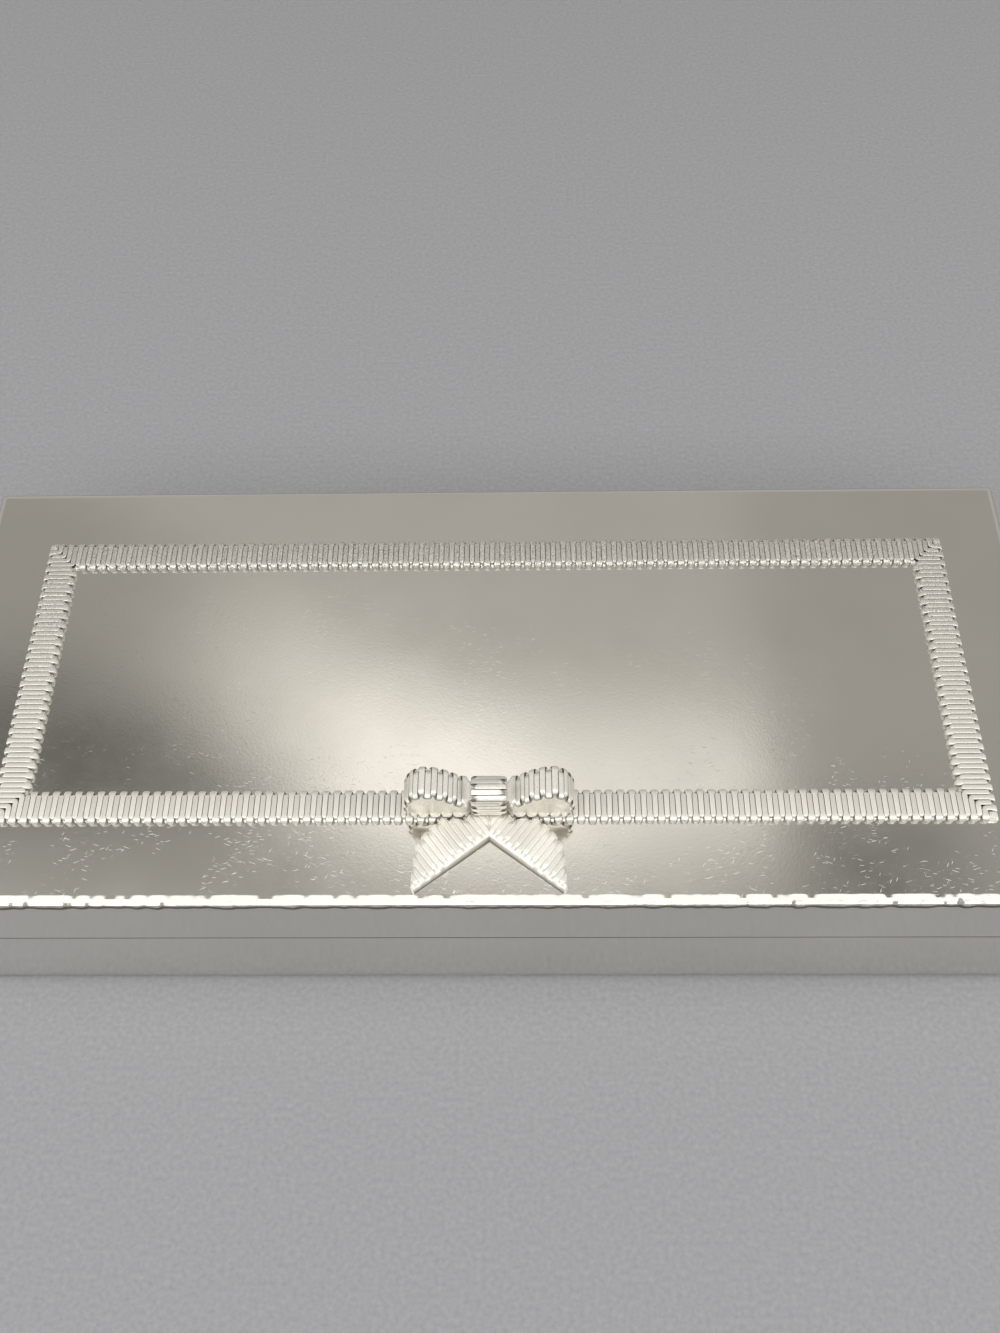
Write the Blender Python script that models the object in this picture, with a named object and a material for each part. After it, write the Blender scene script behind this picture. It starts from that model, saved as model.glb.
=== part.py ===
"""Silver-plated jewellery box: a hinged lid with a ribbed ribbon border and a bow, lined with velvet.

X runs along the box, -Y is the front and Z is up. The origin is under the middle of the base.
"""

import math

import bmesh
import bpy

# Box, in metres
BOX_LENGTH = 0.2600
BOX_DEPTH = 0.1148
BASE_HEIGHT = 0.0300  # table to the base's rim
LID_HEIGHT = 0.0197
SHEET = 0.0010  # thickness of the plated sheet
CORNER_RADIUS = 0.0018
EDGE_RADIUS = 0.0012
SEAT = 0.0003  # gap left between two pieces that touch

# Continuous hinge along the back
BARREL_RADIUS = 0.0018
PIN_RADIUS = 0.0009
PIN_CLEARANCE = 0.0001
KNUCKLE_COUNT = 15
KNUCKLE_GAP = 0.0003
LEAF_THICKNESS = 0.0006
LEAF_WIDTH = 0.0070
BARREL_CLEARANCE = 0.0003

# Linings
FELT_THICKNESS = 0.0008
FELT_INSET = 0.0025
LINING_THICKNESS = 0.0012
LINING_DROP = 0.0006  # lining's edge below the metal rim
FLOOR_PAD_THICKNESS = 0.0025
LID_PAD_EDGE = 0.0016
LID_PAD_CROWN = 0.0026
LID_PAD_DRAW = 0.0008  # how far the pad's sides pull in between its corners
DIVIDER_THICKNESS = 0.0030
DIVIDER_HEIGHT = 0.0200
RING_SECTION_LENGTH = 0.0640
RING_ROLL_COUNT = 6
RING_ROLL_HEIGHT = 0.0140
RING_ROLL_END_ROUND = 0.0030
LONG_DIVIDER_FROM_FRONT = 0.0560
CROSS_DIVIDER_FROM_LEFT = 0.0930

# Ribbed ribbon border on the lid
RIBBON_WIDTH = 0.00848
RIB_PITCH = 0.00256  # from one outer-reaching rib to the next
RIB_SETBACK = 0.00100  # how far a rib stops short of the far edge
GROOVE_SHARE = 0.2  # how far a groove between two ribs is cut back from either edge
RIB_DEPTH = 0.00050
BORDER_RELIEF = 0.00120
BORDER_SIDE_MARGIN = 0.0165
BORDER_END_MARGIN = 0.0178
BORDER_SET_BACK = 0.0010  # border's centre behind the lid's centre
CORNER_RIB = 1.245  # last whole rib's distance from the corner, in pitches
CORNER_BEAD = 0.6  # middle of the corner's bead, in pitches
CORNER_GROOVE = 0.92

# Bow, of the same ribbon
BOW_THICKNESS = 0.0010
BOW_RIB_PITCH = 0.0026
BOW_RIB_DEPTH = 0.00035
BOW_SET_BACK = 0.0004  # loops and knot behind the border strip's middle
LOOP_WIDTH = 0.0077
LOOP_REACH = 0.01895
LOOP_HEIGHT = 0.0129  # above the lid
WAIST_WIDTH = 0.0038
WAIST_HEIGHT = 0.0070
KNOT_WIDTH = 0.0080
KNOT_DEPTH = 0.0072
KNOT_HEIGHT = 0.0104
KNOT_FOOT = 0.0034
TAIL_ANGLE = math.radians(37.2)  # inner edge below the X axis
TAIL_LENGTH = 0.0216  # along the inner edge
TAIL_CUT = 0.0074  # how much shorter the outer edge is
TAIL_SHOULDER = 0.0009  # how much wider a tail is above its cut
TAIL_CROTCH = 0.0075  # crotch in front of the border strip's middle
TAIL_TIP_LIFT = 0.0006

# Derived planes
BASE_BOTTOM = FELT_THICKNESS + SEAT
BASE_FLOOR = BASE_BOTTOM + SHEET
LID_RIM = BASE_HEIGHT + SEAT
LID_TOP = LID_RIM + LID_HEIGHT
LID_CEILING = LID_TOP - SHEET
INNER_X = BOX_LENGTH / 2 - SHEET
INNER_Y = BOX_DEPTH / 2 - SHEET
HINGE_Y = BOX_DEPTH / 2 - BARREL_RADIUS
HINGE_Z = BASE_HEIGHT + SEAT / 2
SLOT = BARREL_RADIUS + BARREL_CLEARANCE
CORNER_CLEAR = SEAT + 0.3 * max(CORNER_RADIUS - SHEET, 0.0)
HINGE_HALF = INNER_X - CORNER_CLEAR
FRONT_LINING_FACE = -INNER_Y + SEAT + LINING_THICKNESS
BACK_LINING_BACK = INNER_Y - 2 * SEAT - LEAF_THICKNESS
BACK_LINING_FACE = BACK_LINING_BACK - LINING_THICKNESS
SIDE_LINING_FACE = INNER_X - SEAT - LINING_THICKNESS
PAD_TOP = BASE_FLOOR + SEAT + FLOOR_PAD_THICKNESS
BORDER_BOTTOM = LID_TOP + SEAT
BORDER_TOP = BORDER_BOTTOM + BORDER_RELIEF
LOOP_MOUTH = BORDER_TOP + SEAT - LID_TOP  # underside of a loop above the lid

SILVER = ("polished_silver_plate", (0.62, 0.60, 0.57), 0.12, 1.0)
CAST_SILVER = ("cast_silver_plate", (0.74, 0.71, 0.64), 0.22, 1.0)
STEEL = ("hinge_steel", (0.55, 0.55, 0.54), 0.30, 1.0)
VELVET = ("grey_velvet", (0.10, 0.11, 0.13), 0.90, 0.0)
FELT = ("base_felt", (0.05, 0.05, 0.06), 0.95, 0.0)


def material(spec):
    name, colour, roughness, metallic = spec
    found = bpy.data.materials.get(name)
    if found:
        return found
    made = bpy.data.materials.new(name)
    made.use_nodes = True
    shader = made.node_tree.nodes["Principled BSDF"]
    shader.inputs["Base Color"].default_value = (*colour, 1.0)
    shader.inputs["Roughness"].default_value = roughness
    shader.inputs["Metallic"].default_value = metallic
    return made


def add_piece(name, bm, finish, smooth_degrees=30):
    """Turns a bmesh into a named object, with its faces pointing out."""
    bmesh.ops.recalc_face_normals(bm, faces=bm.faces)
    mesh = bpy.data.meshes.new(name)
    bm.to_mesh(mesh)
    bm.free()
    mesh.shade_smooth()
    mesh.set_sharp_from_angle(angle=math.radians(smooth_degrees))
    mesh.materials.append(material(finish))
    piece = bpy.data.objects.new(name, mesh)
    bpy.context.scene.collection.objects.link(piece)
    return piece


def add_cutter(name, bm):
    """A shape that only a Boolean reads."""
    bmesh.ops.recalc_face_normals(bm, faces=bm.faces)
    mesh = bpy.data.meshes.new(name)
    bm.to_mesh(mesh)
    bm.free()
    tool = bpy.data.objects.new(name, mesh)
    tool.hide_render = True
    tool.display_type = "WIRE"
    bpy.context.scene.collection.objects.link(tool)
    return tool


def combine(piece, tool, operation):
    modifier = piece.modifiers.new(operation.title(), "BOOLEAN")
    modifier.operation = operation
    modifier.solver = "EXACT"
    modifier.object = tool


def loft(bm, rings, cap_first=True, cap_last=True):
    """Joins rings of as many points each with quads, and caps the ends."""
    rows = [[bm.verts.new(point) for point in ring] for ring in rings]
    count = len(rows[0])
    for lower, upper in zip(rows, rows[1:]):
        for i in range(count):
            j = (i + 1) % count
            bm.faces.new((lower[i], lower[j], upper[j], upper[i]))
    if cap_first:
        bm.faces.new(rows[0][::-1])
    if cap_last:
        bm.faces.new(rows[-1])
    return rows


def box_mesh(x0, x1, y0, y1, z0, z1):
    bm = bmesh.new()
    outline = [(x0, y0), (x1, y0), (x1, y1), (x0, y1)]
    loft(bm, [[(x, y, z) for x, y in outline] for z in (z0, z1)])
    return bm


def board(name, x, y, z, finish, rounding):
    """A flat board between the given limits, its edges broken by a small chamfer."""
    bm = box_mesh(*x, *y, *z)
    bmesh.ops.bevel(bm, geom=bm.edges[:], offset=rounding, segments=1, affect="EDGES")
    return add_piece(name, bm, finish)


def rounded_outline(half_x, half_y, radius, steps=4):
    """Points round a rectangle with round corners, anticlockwise."""
    radius = max(radius, 0.00005)
    points = []
    for corner, (sx, sy) in enumerate(((1, -1), (1, 1), (-1, 1), (-1, -1))):
        start = math.radians(-90 + 90 * corner)
        for step in range(steps + 1):
            angle = start + math.radians(90) * step / steps
            x = sx * (half_x - radius) + radius * math.cos(angle)
            y = sy * (half_y - radius) + radius * math.sin(angle)
            points.append((x, y))
    return points


def shell(name, closed_z, rim_z):
    """An open tray of sheet metal, with round corners and a round edge at its closed side."""
    inwards = 1 if rim_z > closed_z else -1
    half_x = BOX_LENGTH / 2
    half_y = BOX_DEPTH / 2
    rings = []
    for step in range(4):
        angle = math.radians(90) * step / 3
        inset = EDGE_RADIUS * (1 - math.sin(angle))
        rise = EDGE_RADIUS * (1 - math.cos(angle))
        rings.append((inset, closed_z + inwards * rise))
    rings.append((0.0, rim_z))
    inner_radius = max(EDGE_RADIUS - SHEET, 0.0001)
    rings.append((SHEET, rim_z))
    rings.append((SHEET, closed_z + inwards * (SHEET + inner_radius)))
    rings.append((SHEET + inner_radius, closed_z + inwards * SHEET))
    bm = bmesh.new()
    loft(
        bm,
        [
            [
                (x, y, z)
                for x, y in rounded_outline(half_x - inset, half_y - inset, CORNER_RADIUS - inset)
            ]
            for inset, z in rings
        ],
    )
    return add_piece(name, bm, SILVER)


def hinge_slot():
    """The gap along the back, through both shells, that the hinge's barrel lies in."""
    past = 0.005
    return add_cutter(
        "hinge_slot",
        box_mesh(
            -BOX_LENGTH / 2 - past,
            BOX_LENGTH / 2 + past,
            HINGE_Y - SLOT,
            BOX_DEPTH / 2 + past,
            HINGE_Z - SLOT,
            HINGE_Z + SLOT,
        ),
    )


def knuckle_spans():
    length = 2 * HINGE_HALF
    knuckle = (length - (KNUCKLE_COUNT - 1) * KNUCKLE_GAP) / KNUCKLE_COUNT
    for i in range(KNUCKLE_COUNT):
        start = -length / 2 + i * (knuckle + KNUCKLE_GAP)
        yield i, start, start + knuckle


def knuckle_outline(side):
    """A barrel's circle with the neck that runs to its leaf; side is -1 down or 1 up."""
    plate_back = INNER_Y - SEAT - HINGE_Y
    plate_front = plate_back - LEAF_THICKNESS
    steps = 16
    points = [(plate_front, side * (SLOT + SEAT)), (plate_back, side * (SLOT + SEAT))]
    first = math.atan2(math.sqrt(max(BARREL_RADIUS**2 - plate_back**2, 0.0)), plate_back)
    last = math.atan2(math.sqrt(max(BARREL_RADIUS**2 - plate_front**2, 0.0)), plate_front)
    sweep = first + 2 * math.pi - last
    for step in range(steps):
        angle = first - sweep * step / (steps - 1)
        points.append((BARREL_RADIUS * math.cos(angle), side * BARREL_RADIUS * math.sin(angle)))
    return [(HINGE_Y + y, HINGE_Z + z) for y, z in points]


def hinge_leaf(name, side, first_knuckle, bore):
    """A leaf soldered inside the back wall, with every second knuckle of the barrel."""
    near = HINGE_Z + side * SLOT
    far = HINGE_Z + side * (SLOT + LEAF_WIDTH)
    plate_y = (INNER_Y - SEAT - LEAF_THICKNESS, INNER_Y - SEAT)
    leaf = add_piece(name, box_mesh(-HINGE_HALF, HINGE_HALF, *plate_y, min(near, far), max(near, far)), STEEL)
    outline = knuckle_outline(side)
    bm = bmesh.new()
    for i, start, end in knuckle_spans():
        if i % 2 == first_knuckle:
            loft(bm, [[(x, y, z) for y, z in outline] for x in (start, end)])
    combine(leaf, add_cutter(name + "_knuckles", bm), "UNION")
    combine(leaf, bore, "DIFFERENCE")
    return leaf


def rod(radius, x0, x1, steps=16):
    circle = [
        (
            HINGE_Y + radius * math.cos(2 * math.pi * i / steps),
            HINGE_Z + radius * math.sin(2 * math.pi * i / steps),
        )
        for i in range(steps)
    ]
    bm = bmesh.new()
    loft(bm, [[(x, y, z) for y, z in circle] for x in (x0, x1)])
    return bm


def build_hinge():
    bore = add_cutter(
        "hinge_bore", rod(PIN_RADIUS + PIN_CLEARANCE, -BOX_LENGTH / 2, BOX_LENGTH / 2)
    )
    hinge_leaf("hinge_base_leaf", -1, 0, bore)
    hinge_leaf("hinge_lid_leaf", 1, 1, bore)
    add_piece("hinge_pin", rod(PIN_RADIUS, -HINGE_HALF, HINGE_HALF), STEEL)


def wall_linings(prefix, z0, z1, back_z0, back_z1):
    """Velvet-covered boards round the inside; the back one clears the hinge."""
    rounding = LINING_THICKNESS / 4
    long_half = INNER_X - CORNER_CLEAR
    front_y = (-INNER_Y + SEAT, FRONT_LINING_FACE)
    back_y = (BACK_LINING_FACE, BACK_LINING_BACK)
    side_y = (FRONT_LINING_FACE + SEAT, BACK_LINING_FACE - SEAT)
    side_x = (SIDE_LINING_FACE, INNER_X - SEAT)
    side_x_left = (-side_x[1], -side_x[0])
    along = (-long_half, long_half)
    board(prefix + "_front_lining", along, front_y, (z0, z1), VELVET, rounding)
    board(prefix + "_back_lining", along, back_y, (back_z0, back_z1), VELVET, rounding)
    board(prefix + "_right_lining", side_x, side_y, (z0, z1), VELVET, rounding)
    board(prefix + "_left_lining", side_x_left, side_y, (z0, z1), VELVET, rounding)


def cushion(name, half_x, centre_y, half_y, flat_z, edge_z, crown_z, draw, finish):
    """A pad with one flat face, a crowned face and sides that pull in between its corners."""
    columns = 16
    rows = 10
    bm = bmesh.new()
    flat = {}
    crowned = {}
    for i in range(columns + 1):
        u = -1 + 2 * i / columns
        for j in range(rows + 1):
            v = -1 + 2 * j / rows
            x = u * (half_x - draw * (1 - v * v))
            y = centre_y + v * (half_y - draw * (1 - u * u))
            swell = math.sqrt(max((1 - u**4) * (1 - v**4), 0.0))
            flat[i, j] = bm.verts.new((x, y, flat_z))
            crowned[i, j] = bm.verts.new((x, y, edge_z + (crown_z - edge_z) * swell))
    for grid in (flat, crowned):
        for i in range(columns):
            for j in range(rows):
                bm.faces.new((grid[i, j], grid[i + 1, j], grid[i + 1, j + 1], grid[i, j + 1]))
    for i in range(columns):
        for j in (0, rows):
            bm.faces.new((flat[i, j], flat[i + 1, j], crowned[i + 1, j], crowned[i, j]))
    for j in range(rows):
        for i in (0, columns):
            bm.faces.new((flat[i, j], flat[i, j + 1], crowned[i, j + 1], crowned[i, j]))
    return add_piece(name, bm, finish, 50)


def ring_roll(name, x0, x1, centre_y, width, z0):
    """A foam roll wrapped in velvet: round over the top, flat below, with soft ends."""
    arc_steps = 10
    ends = 3
    half = width / 2
    rings = []
    for k in range(2 * ends + 2):
        side = k if k <= ends else 2 * ends + 1 - k
        angle = math.radians(90) * side / ends
        shrink = 0.62 + 0.38 * math.sin(angle)
        inset = RING_ROLL_END_ROUND * (1 - math.sin(angle))
        x = x0 + inset if k <= ends else x1 - inset
        ring = []
        for step in range(arc_steps + 1):
            turn = math.pi * step / arc_steps
            y = half * shrink * math.cos(turn)
            lift = math.sin(turn) ** 0.8 if 0 < step < arc_steps else 0.0
            z = RING_ROLL_HEIGHT * (0.18 + 0.82 * lift * shrink)
            ring.append((x, centre_y + y, z0 + z))
        foot = half * shrink * 0.86
        ring.append((x, centre_y - foot, z0))
        ring.append((x, centre_y + foot, z0))
        rings.append(ring)
    bm = bmesh.new()
    loft(bm, rings)
    return add_piece(name, bm, VELVET, 60)


def build_base():
    base = shell("base_shell", BASE_BOTTOM, BASE_HEIGHT)
    combine(base, bpy.data.objects["hinge_slot"], "DIFFERENCE")
    half_x = BOX_LENGTH / 2 - FELT_INSET
    half_y = BOX_DEPTH / 2 - FELT_INSET
    outline = rounded_outline(half_x, half_y, CORNER_RADIUS, 2)
    bm = bmesh.new()
    loft(bm, [[(x, y, z) for x, y in outline] for z in (0.0, FELT_THICKNESS)])
    add_piece("base_felt", bm, FELT)

    stand = BASE_FLOOR + SEAT
    wall_linings("base", stand, BASE_HEIGHT - LINING_DROP, stand, HINGE_Z - SLOT - SEAT)
    pad_x = SIDE_LINING_FACE - SEAT
    pad_y = (FRONT_LINING_FACE + SEAT, BACK_LINING_FACE - SEAT)
    board("floor_pad", (-pad_x, pad_x), pad_y, (stand, PAD_TOP), VELVET, FLOOR_PAD_THICKNESS / 5)
    build_dividers()


def build_dividers():
    foot = PAD_TOP + SEAT
    z = (foot, foot + DIVIDER_HEIGHT)
    rounding = DIVIDER_THICKNESS / 4
    left = -SIDE_LINING_FACE + SEAT
    right = SIDE_LINING_FACE - SEAT
    front = FRONT_LINING_FACE + SEAT
    back = BACK_LINING_FACE - SEAT
    ring_x = right - RING_SECTION_LENGTH - SEAT
    board("ring_divider", (ring_x - DIVIDER_THICKNESS, ring_x), (front, back), z, VELVET, rounding)
    long_y = front + LONG_DIVIDER_FROM_FRONT
    long_x = (left, ring_x - DIVIDER_THICKNESS - SEAT)
    long_face = long_y + DIVIDER_THICKNESS
    board("long_divider", long_x, (long_y, long_face), z, VELVET, rounding)
    cross_x = left + CROSS_DIVIDER_FROM_LEFT
    cross_y = (long_face + SEAT, back)
    cross = (cross_x, cross_x + DIVIDER_THICKNESS)
    board("cross_divider", cross, cross_y, z, VELVET, rounding)

    pitch = (back - front + SEAT) / RING_ROLL_COUNT
    for i in range(RING_ROLL_COUNT):
        centre = front + pitch * (i + 0.5) - SEAT / 2
        ring_roll(f"ring_roll_{i + 1}", ring_x + SEAT, right, centre, pitch - SEAT, foot)


def build_lid():
    lid = shell("lid_shell", LID_TOP, LID_RIM)
    combine(lid, bpy.data.objects["hinge_slot"], "DIFFERENCE")
    top = LID_CEILING - SEAT
    wall_linings("lid", LID_RIM + LINING_DROP, top, HINGE_Z + SLOT + SEAT, top)
    front = FRONT_LINING_FACE + SEAT
    back = BACK_LINING_FACE - SEAT
    cushion(
        "lid_pad",
        SIDE_LINING_FACE - SEAT,
        (front + back) / 2,
        (back - front) / 2,
        top,
        top - LID_PAD_EDGE,
        top - LID_PAD_EDGE - LID_PAD_CROWN,
        LID_PAD_DRAW,
        VELVET,
    )


def rib_reach(quarter):
    """How far a station's ribs stop short of the outer and of the inner edge of the ribbon."""
    if quarter % 4 == 0:
        return 0.0, RIB_SETBACK, True
    if quarter % 4 == 2:
        return RIB_SETBACK, 0.0, True
    return RIB_SETBACK * GROOVE_SHARE, RIB_SETBACK * GROOVE_SHARE, False


def border_halves():
    """Half the border's length and depth, in whole ribs that fit inside the margins."""
    room_x = BOX_LENGTH / 2 - BORDER_SIDE_MARGIN
    room_y = BOX_DEPTH / 2 - BORDER_END_MARGIN
    whole_x = math.floor(room_x / RIB_PITCH - CORNER_RIB)
    whole_y = math.floor(room_y / RIB_PITCH - CORNER_RIB)
    return (whole_x, (whole_x + CORNER_RIB) * RIB_PITCH), (whole_y, (whole_y + CORNER_RIB) * RIB_PITCH)


def strip_stations(ribs, half):
    """Places along one side of the border: distance from its middle, reaches and crown."""
    stations = []
    for quarter in range(-4 * ribs, 4 * ribs + 1):
        stations.append((quarter * RIB_PITCH / 4, *rib_reach(quarter)))
    ends = [(CORNER_GROOVE, 0.0, False), (CORNER_BEAD, 0.0, True), (0.0, 0.0, False)]
    for distance, short, crown in ends:
        place = half - distance * RIB_PITCH
        stations.append((place, short, 0.0, crown))
        stations.insert(0, (-place, short, 0.0, crown))
    return stations


def build_border():
    """The ribbon border: one cast ring whose ribs meet on a mitre at each corner."""
    (ribs_x, half_x), (ribs_y, half_y) = border_halves()
    bm = bmesh.new()
    made = {}

    def vertex(x, y, z):
        key = (round(x, 7), round(y, 7), round(z, 7))
        if key not in made:
            made[key] = bm.verts.new((x, y, z))
        return made[key]

    def face(*corners):
        unique = list(dict.fromkeys(corners))
        if len(unique) > 2 and not bm.faces.get(unique):
            bm.faces.new(unique)

    sides = (
        (ribs_x, half_x, lambda u, v: (u, -half_y + v)),
        (ribs_y, half_y, lambda u, v: (half_x - v, u)),
        (ribs_x, half_x, lambda u, v: (-u, half_y - v)),
        (ribs_y, half_y, lambda u, v: (-half_x + v, -u)),
    )
    for ribs, half, place in sides:
        rows = []
        for u, short_outer, short_inner, crown in strip_stations(ribs, half):
            corner = half - abs(u)
            mitred = corner < RIBBON_WIDTH
            inner = corner if mitred else RIBBON_WIDTH - short_inner
            outer = min(short_outer, corner)
            top = BORDER_TOP if crown else BORDER_TOP - RIB_DEPTH
            row = []
            for v, z in ((outer, BORDER_BOTTOM), (outer, top), (inner, top), (inner, BORDER_BOTTOM)):
                x, y = place(u, v)
                row.append(vertex(x, y + BORDER_SET_BACK, z))
            rows.append((mitred, row))
        for (mitred_a, a), (mitred_b, b) in zip(rows, rows[1:]):
            face(a[0], b[0], b[1], a[1])
            face(a[1], b[1], b[2], a[2])
            face(a[3], b[3], b[0], a[0])
            if not (mitred_a and mitred_b):
                face(a[2], b[2], b[3], a[3])
    return add_piece("ribbon_border", bm, CAST_SILVER)


def bow_centre_y():
    half_y = border_halves()[1][1]
    return -half_y + RIBBON_WIDTH / 2 + BORDER_SET_BACK


def smooth(value):
    value = min(max(value, 0.0), 1.0)
    return value * value * (3 - 2 * value)


def curve_points(anchors, count, closed):
    """Points evenly spaced along a smooth curve through the anchors, with their directions."""
    total = len(anchors)
    spans = total if closed else total - 1
    fine = []
    for span in range(spans):
        if closed:
            p = [anchors[(span + k - 1) % total] for k in range(4)]
        else:
            p = [anchors[min(max(span + k - 1, 0), total - 1)] for k in range(4)]
        for step in range(24):
            t = step / 24
            fine.append(
                tuple(
                    0.5
                    * (
                        2 * b
                        + (c - a) * t
                        + (2 * a - 5 * b + 4 * c - d) * t * t
                        + (3 * b - a - 3 * c + d) * t**3
                    )
                    for a, b, c, d in zip(*p)
                )
            )
    fine.append(anchors[0] if closed else anchors[-1])
    lengths = [0.0]
    for a, b in zip(fine, fine[1:]):
        lengths.append(lengths[-1] + math.dist(a, b))
    pieces = count if closed else count - 1
    result = []
    at = 0
    for i in range(count):
        want = lengths[-1] * i / pieces
        while at < len(fine) - 2 and lengths[at + 1] < want:
            at += 1
        share = (want - lengths[at]) / max(lengths[at + 1] - lengths[at], 1e-12)
        a, b = fine[at], fine[at + 1]
        point = tuple(p + (q - p) * share for p, q in zip(a, b))
        size = math.dist(a, b)
        result.append((point, tuple((q - p) / size for p, q in zip(a, b)), want))
    return result, lengths[-1]


def loop_path():
    """The line of a loop, seen from the front: out along the top, round, and back below."""
    reach = LOOP_REACH - BOW_THICKNESS / 2
    low = LOOP_MOUTH + BOW_THICKNESS / 2
    high = LOOP_HEIGHT - BOW_THICKNESS / 2
    waist = WAIST_HEIGHT - BOW_THICKNESS / 2
    start = SEAT / 2 + BOW_THICKNESS / 2
    return [
        (start, (waist + low) / 2),
        (start + 0.0016, waist),
        (reach * 0.29, waist + 0.0003),
        (reach * 0.38, waist + (high - waist) * 0.26),
        (reach * 0.51, waist + (high - waist) * 0.66),
        (reach * 0.65, waist + (high - waist) * 0.93),
        (reach * 0.79, high),
        (reach * 0.89, high - 0.0011),
        (reach * 0.96, high - 0.0032),
        (reach, (high + low) / 2 - 0.0012),
        (reach * 0.955, low + 0.0011),
        (reach * 0.85, low + 0.0001),
        (reach * 0.60, low),
        (reach * 0.35, low),
        (start + 0.0016, low),
    ]


def loop_half_width(x):
    """Half the ribbon's width at a distance x from the bow's middle: narrow inside the knot."""
    spread = smooth((x - KNOT_WIDTH / 2 - SEAT) / 0.0026)
    return (WAIST_WIDTH + (LOOP_WIDTH - WAIST_WIDTH) * spread) / 2


def bow_loop(name, side):
    """One loop: a ribbed ribbon bent round into a hollow, pinched at the waist."""
    length = curve_points(loop_path(), 8, True)[1]
    ribs = max(round(length / BOW_RIB_PITCH), 6)
    count = 4 * ribs
    path = curve_points(loop_path(), count, True)[0]
    middle = bow_centre_y() + BOW_SET_BACK
    rows = []
    for i, ((x, z), (dx, dz), _) in enumerate(path):
        half = loop_half_width(x)
        back_short, front_short, crown = rib_reach(i)
        scale = 0.8 * smooth((x - KNOT_WIDTH / 2) / 0.003)
        out = BOW_THICKNESS / 2 - (0.0 if crown else BOW_RIB_DEPTH * scale)
        back = middle + half - back_short * scale
        front = middle - half + front_short * scale
        nx, nz = -dz, dx
        corners = []
        for y, offset in ((front, out), (back, out), (back, -BOW_THICKNESS / 2), (front, -BOW_THICKNESS / 2)):
            corners.append((side * (x + nx * offset), y, LID_TOP + z + nz * offset))
        rows.append(corners)
    bm = bmesh.new()
    rings = [[bm.verts.new(point) for point in row] for row in rows]
    for i, ring in enumerate(rings):
        following = rings[(i + 1) % count]
        for k in range(4):
            m = (k + 1) % 4
            bm.faces.new((ring[k], ring[m], following[m], following[k]))
    return add_piece(name, bm, CAST_SILVER)


def bow_knot():
    """The band round the waist: a ribbed strip over the top and down in front and behind."""
    half = KNOT_DEPTH / 2 - BOW_THICKNESS / 2
    top = KNOT_HEIGHT - BOW_THICKNESS / 2
    middle = bow_centre_y() + BOW_SET_BACK
    anchors = [
        (half, KNOT_FOOT),
        (half + 0.0001, (KNOT_FOOT + top) / 2),
        (half * 0.78, top - 0.0009),
        (0.0, top),
        (-half * 0.78, top - 0.0009),
        (-half - 0.0001, (KNOT_FOOT + top) / 2),
        (-half, KNOT_FOOT),
    ]
    length = curve_points(anchors, 8, False)[1]
    count = 4 * max(round(length / BOW_RIB_PITCH), 4) + 1
    path = curve_points(anchors, count, False)[0]
    rows = []
    for i, ((y, z), (dy, dz), _) in enumerate(path):
        left_short, right_short, crown = rib_reach(i)
        out = BOW_THICKNESS / 2 - (0.0 if crown else BOW_RIB_DEPTH)
        left = -KNOT_WIDTH / 2 + left_short * 0.8
        right = KNOT_WIDTH / 2 - right_short * 0.8
        ny, nz = dz, -dy
        corners = []
        for x, offset in ((left, out), (right, out), (right, -BOW_THICKNESS / 2), (left, -BOW_THICKNESS / 2)):
            corners.append((x, middle + y + ny * offset, LID_TOP + z + nz * offset))
        rows.append(corners)
    bm = bmesh.new()
    loft(bm, rows)
    return add_piece("bow_knot", bm, CAST_SILVER)


def tail_place(s, t):
    """A point of a tail, s along its inner edge from the crotch and t across, seen from above."""
    cos, sin = math.cos(TAIL_ANGLE), math.sin(TAIL_ANGLE)
    return s * cos + t * sin, t * cos - s * sin - TAIL_CROTCH


def tail_outer(s):
    """How far across a tail reaches at s: to its shoulder, its cut end or the loop above it."""
    above_cut = TAIL_LENGTH - TAIL_CUT - s
    width = RIBBON_WIDTH + TAIL_SHOULDER * smooth(above_cut / 0.0048)
    width = min(width, RIBBON_WIDTH * (TAIL_LENGTH - s) / TAIL_CUT)
    steps = 200
    for step in range(steps, 0, -1):
        t = width * step / steps
        x, y = tail_place(s, t)
        if y <= BOW_SET_BACK - loop_half_width(x) - SEAT:
            return t
    return 0.0


def bow_tail(name, side):
    """One tail: a flat ribbed ribbon from under the knot to a slanted end near the lid's edge."""
    cos, sin = math.cos(TAIL_ANGLE), math.sin(TAIL_ANGLE)
    middle = bow_centre_y()
    over_border = BORDER_TOP + SEAT
    on_lid = LID_TOP + SEAT + TAIL_TIP_LIFT
    widest = RIBBON_WIDTH + TAIL_SHOULDER
    drop_from = (widest * cos + RIBBON_WIDTH / 2 - TAIL_CROTCH) / sin + 0.0008
    drop_to = TAIL_LENGTH * 0.72
    narrowest = 0.0009
    step = RIB_PITCH / 4
    rows = []
    for quarter in range(-8, math.floor((TAIL_LENGTH - 0.0007) / step) + 1):
        s = quarter * step
        short_inner, short_outer, crown = rib_reach(quarter)
        at_middle = (SEAT / 2 - s * cos) / sin
        inner = max(short_inner * 0.7, at_middle)
        limit = tail_outer(s)
        if limit - at_middle < narrowest:
            continue
        outer = min(limit, max(limit - short_outer * 0.7, inner + narrowest / 2))
        under = over_border + (on_lid - over_border) * smooth((s - drop_from) / (drop_to - drop_from))
        top = under + BOW_THICKNESS - (0.0 if crown else BOW_RIB_DEPTH)
        row = []
        for t, z in ((inner, under), (inner, top), (outer, top), (outer, under)):
            x, y = tail_place(s, t)
            row.append((side * x, middle + y, z))
        rows.append(row)
    bm = bmesh.new()
    loft(bm, rows)
    return add_piece(name, bm, CAST_SILVER)


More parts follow.
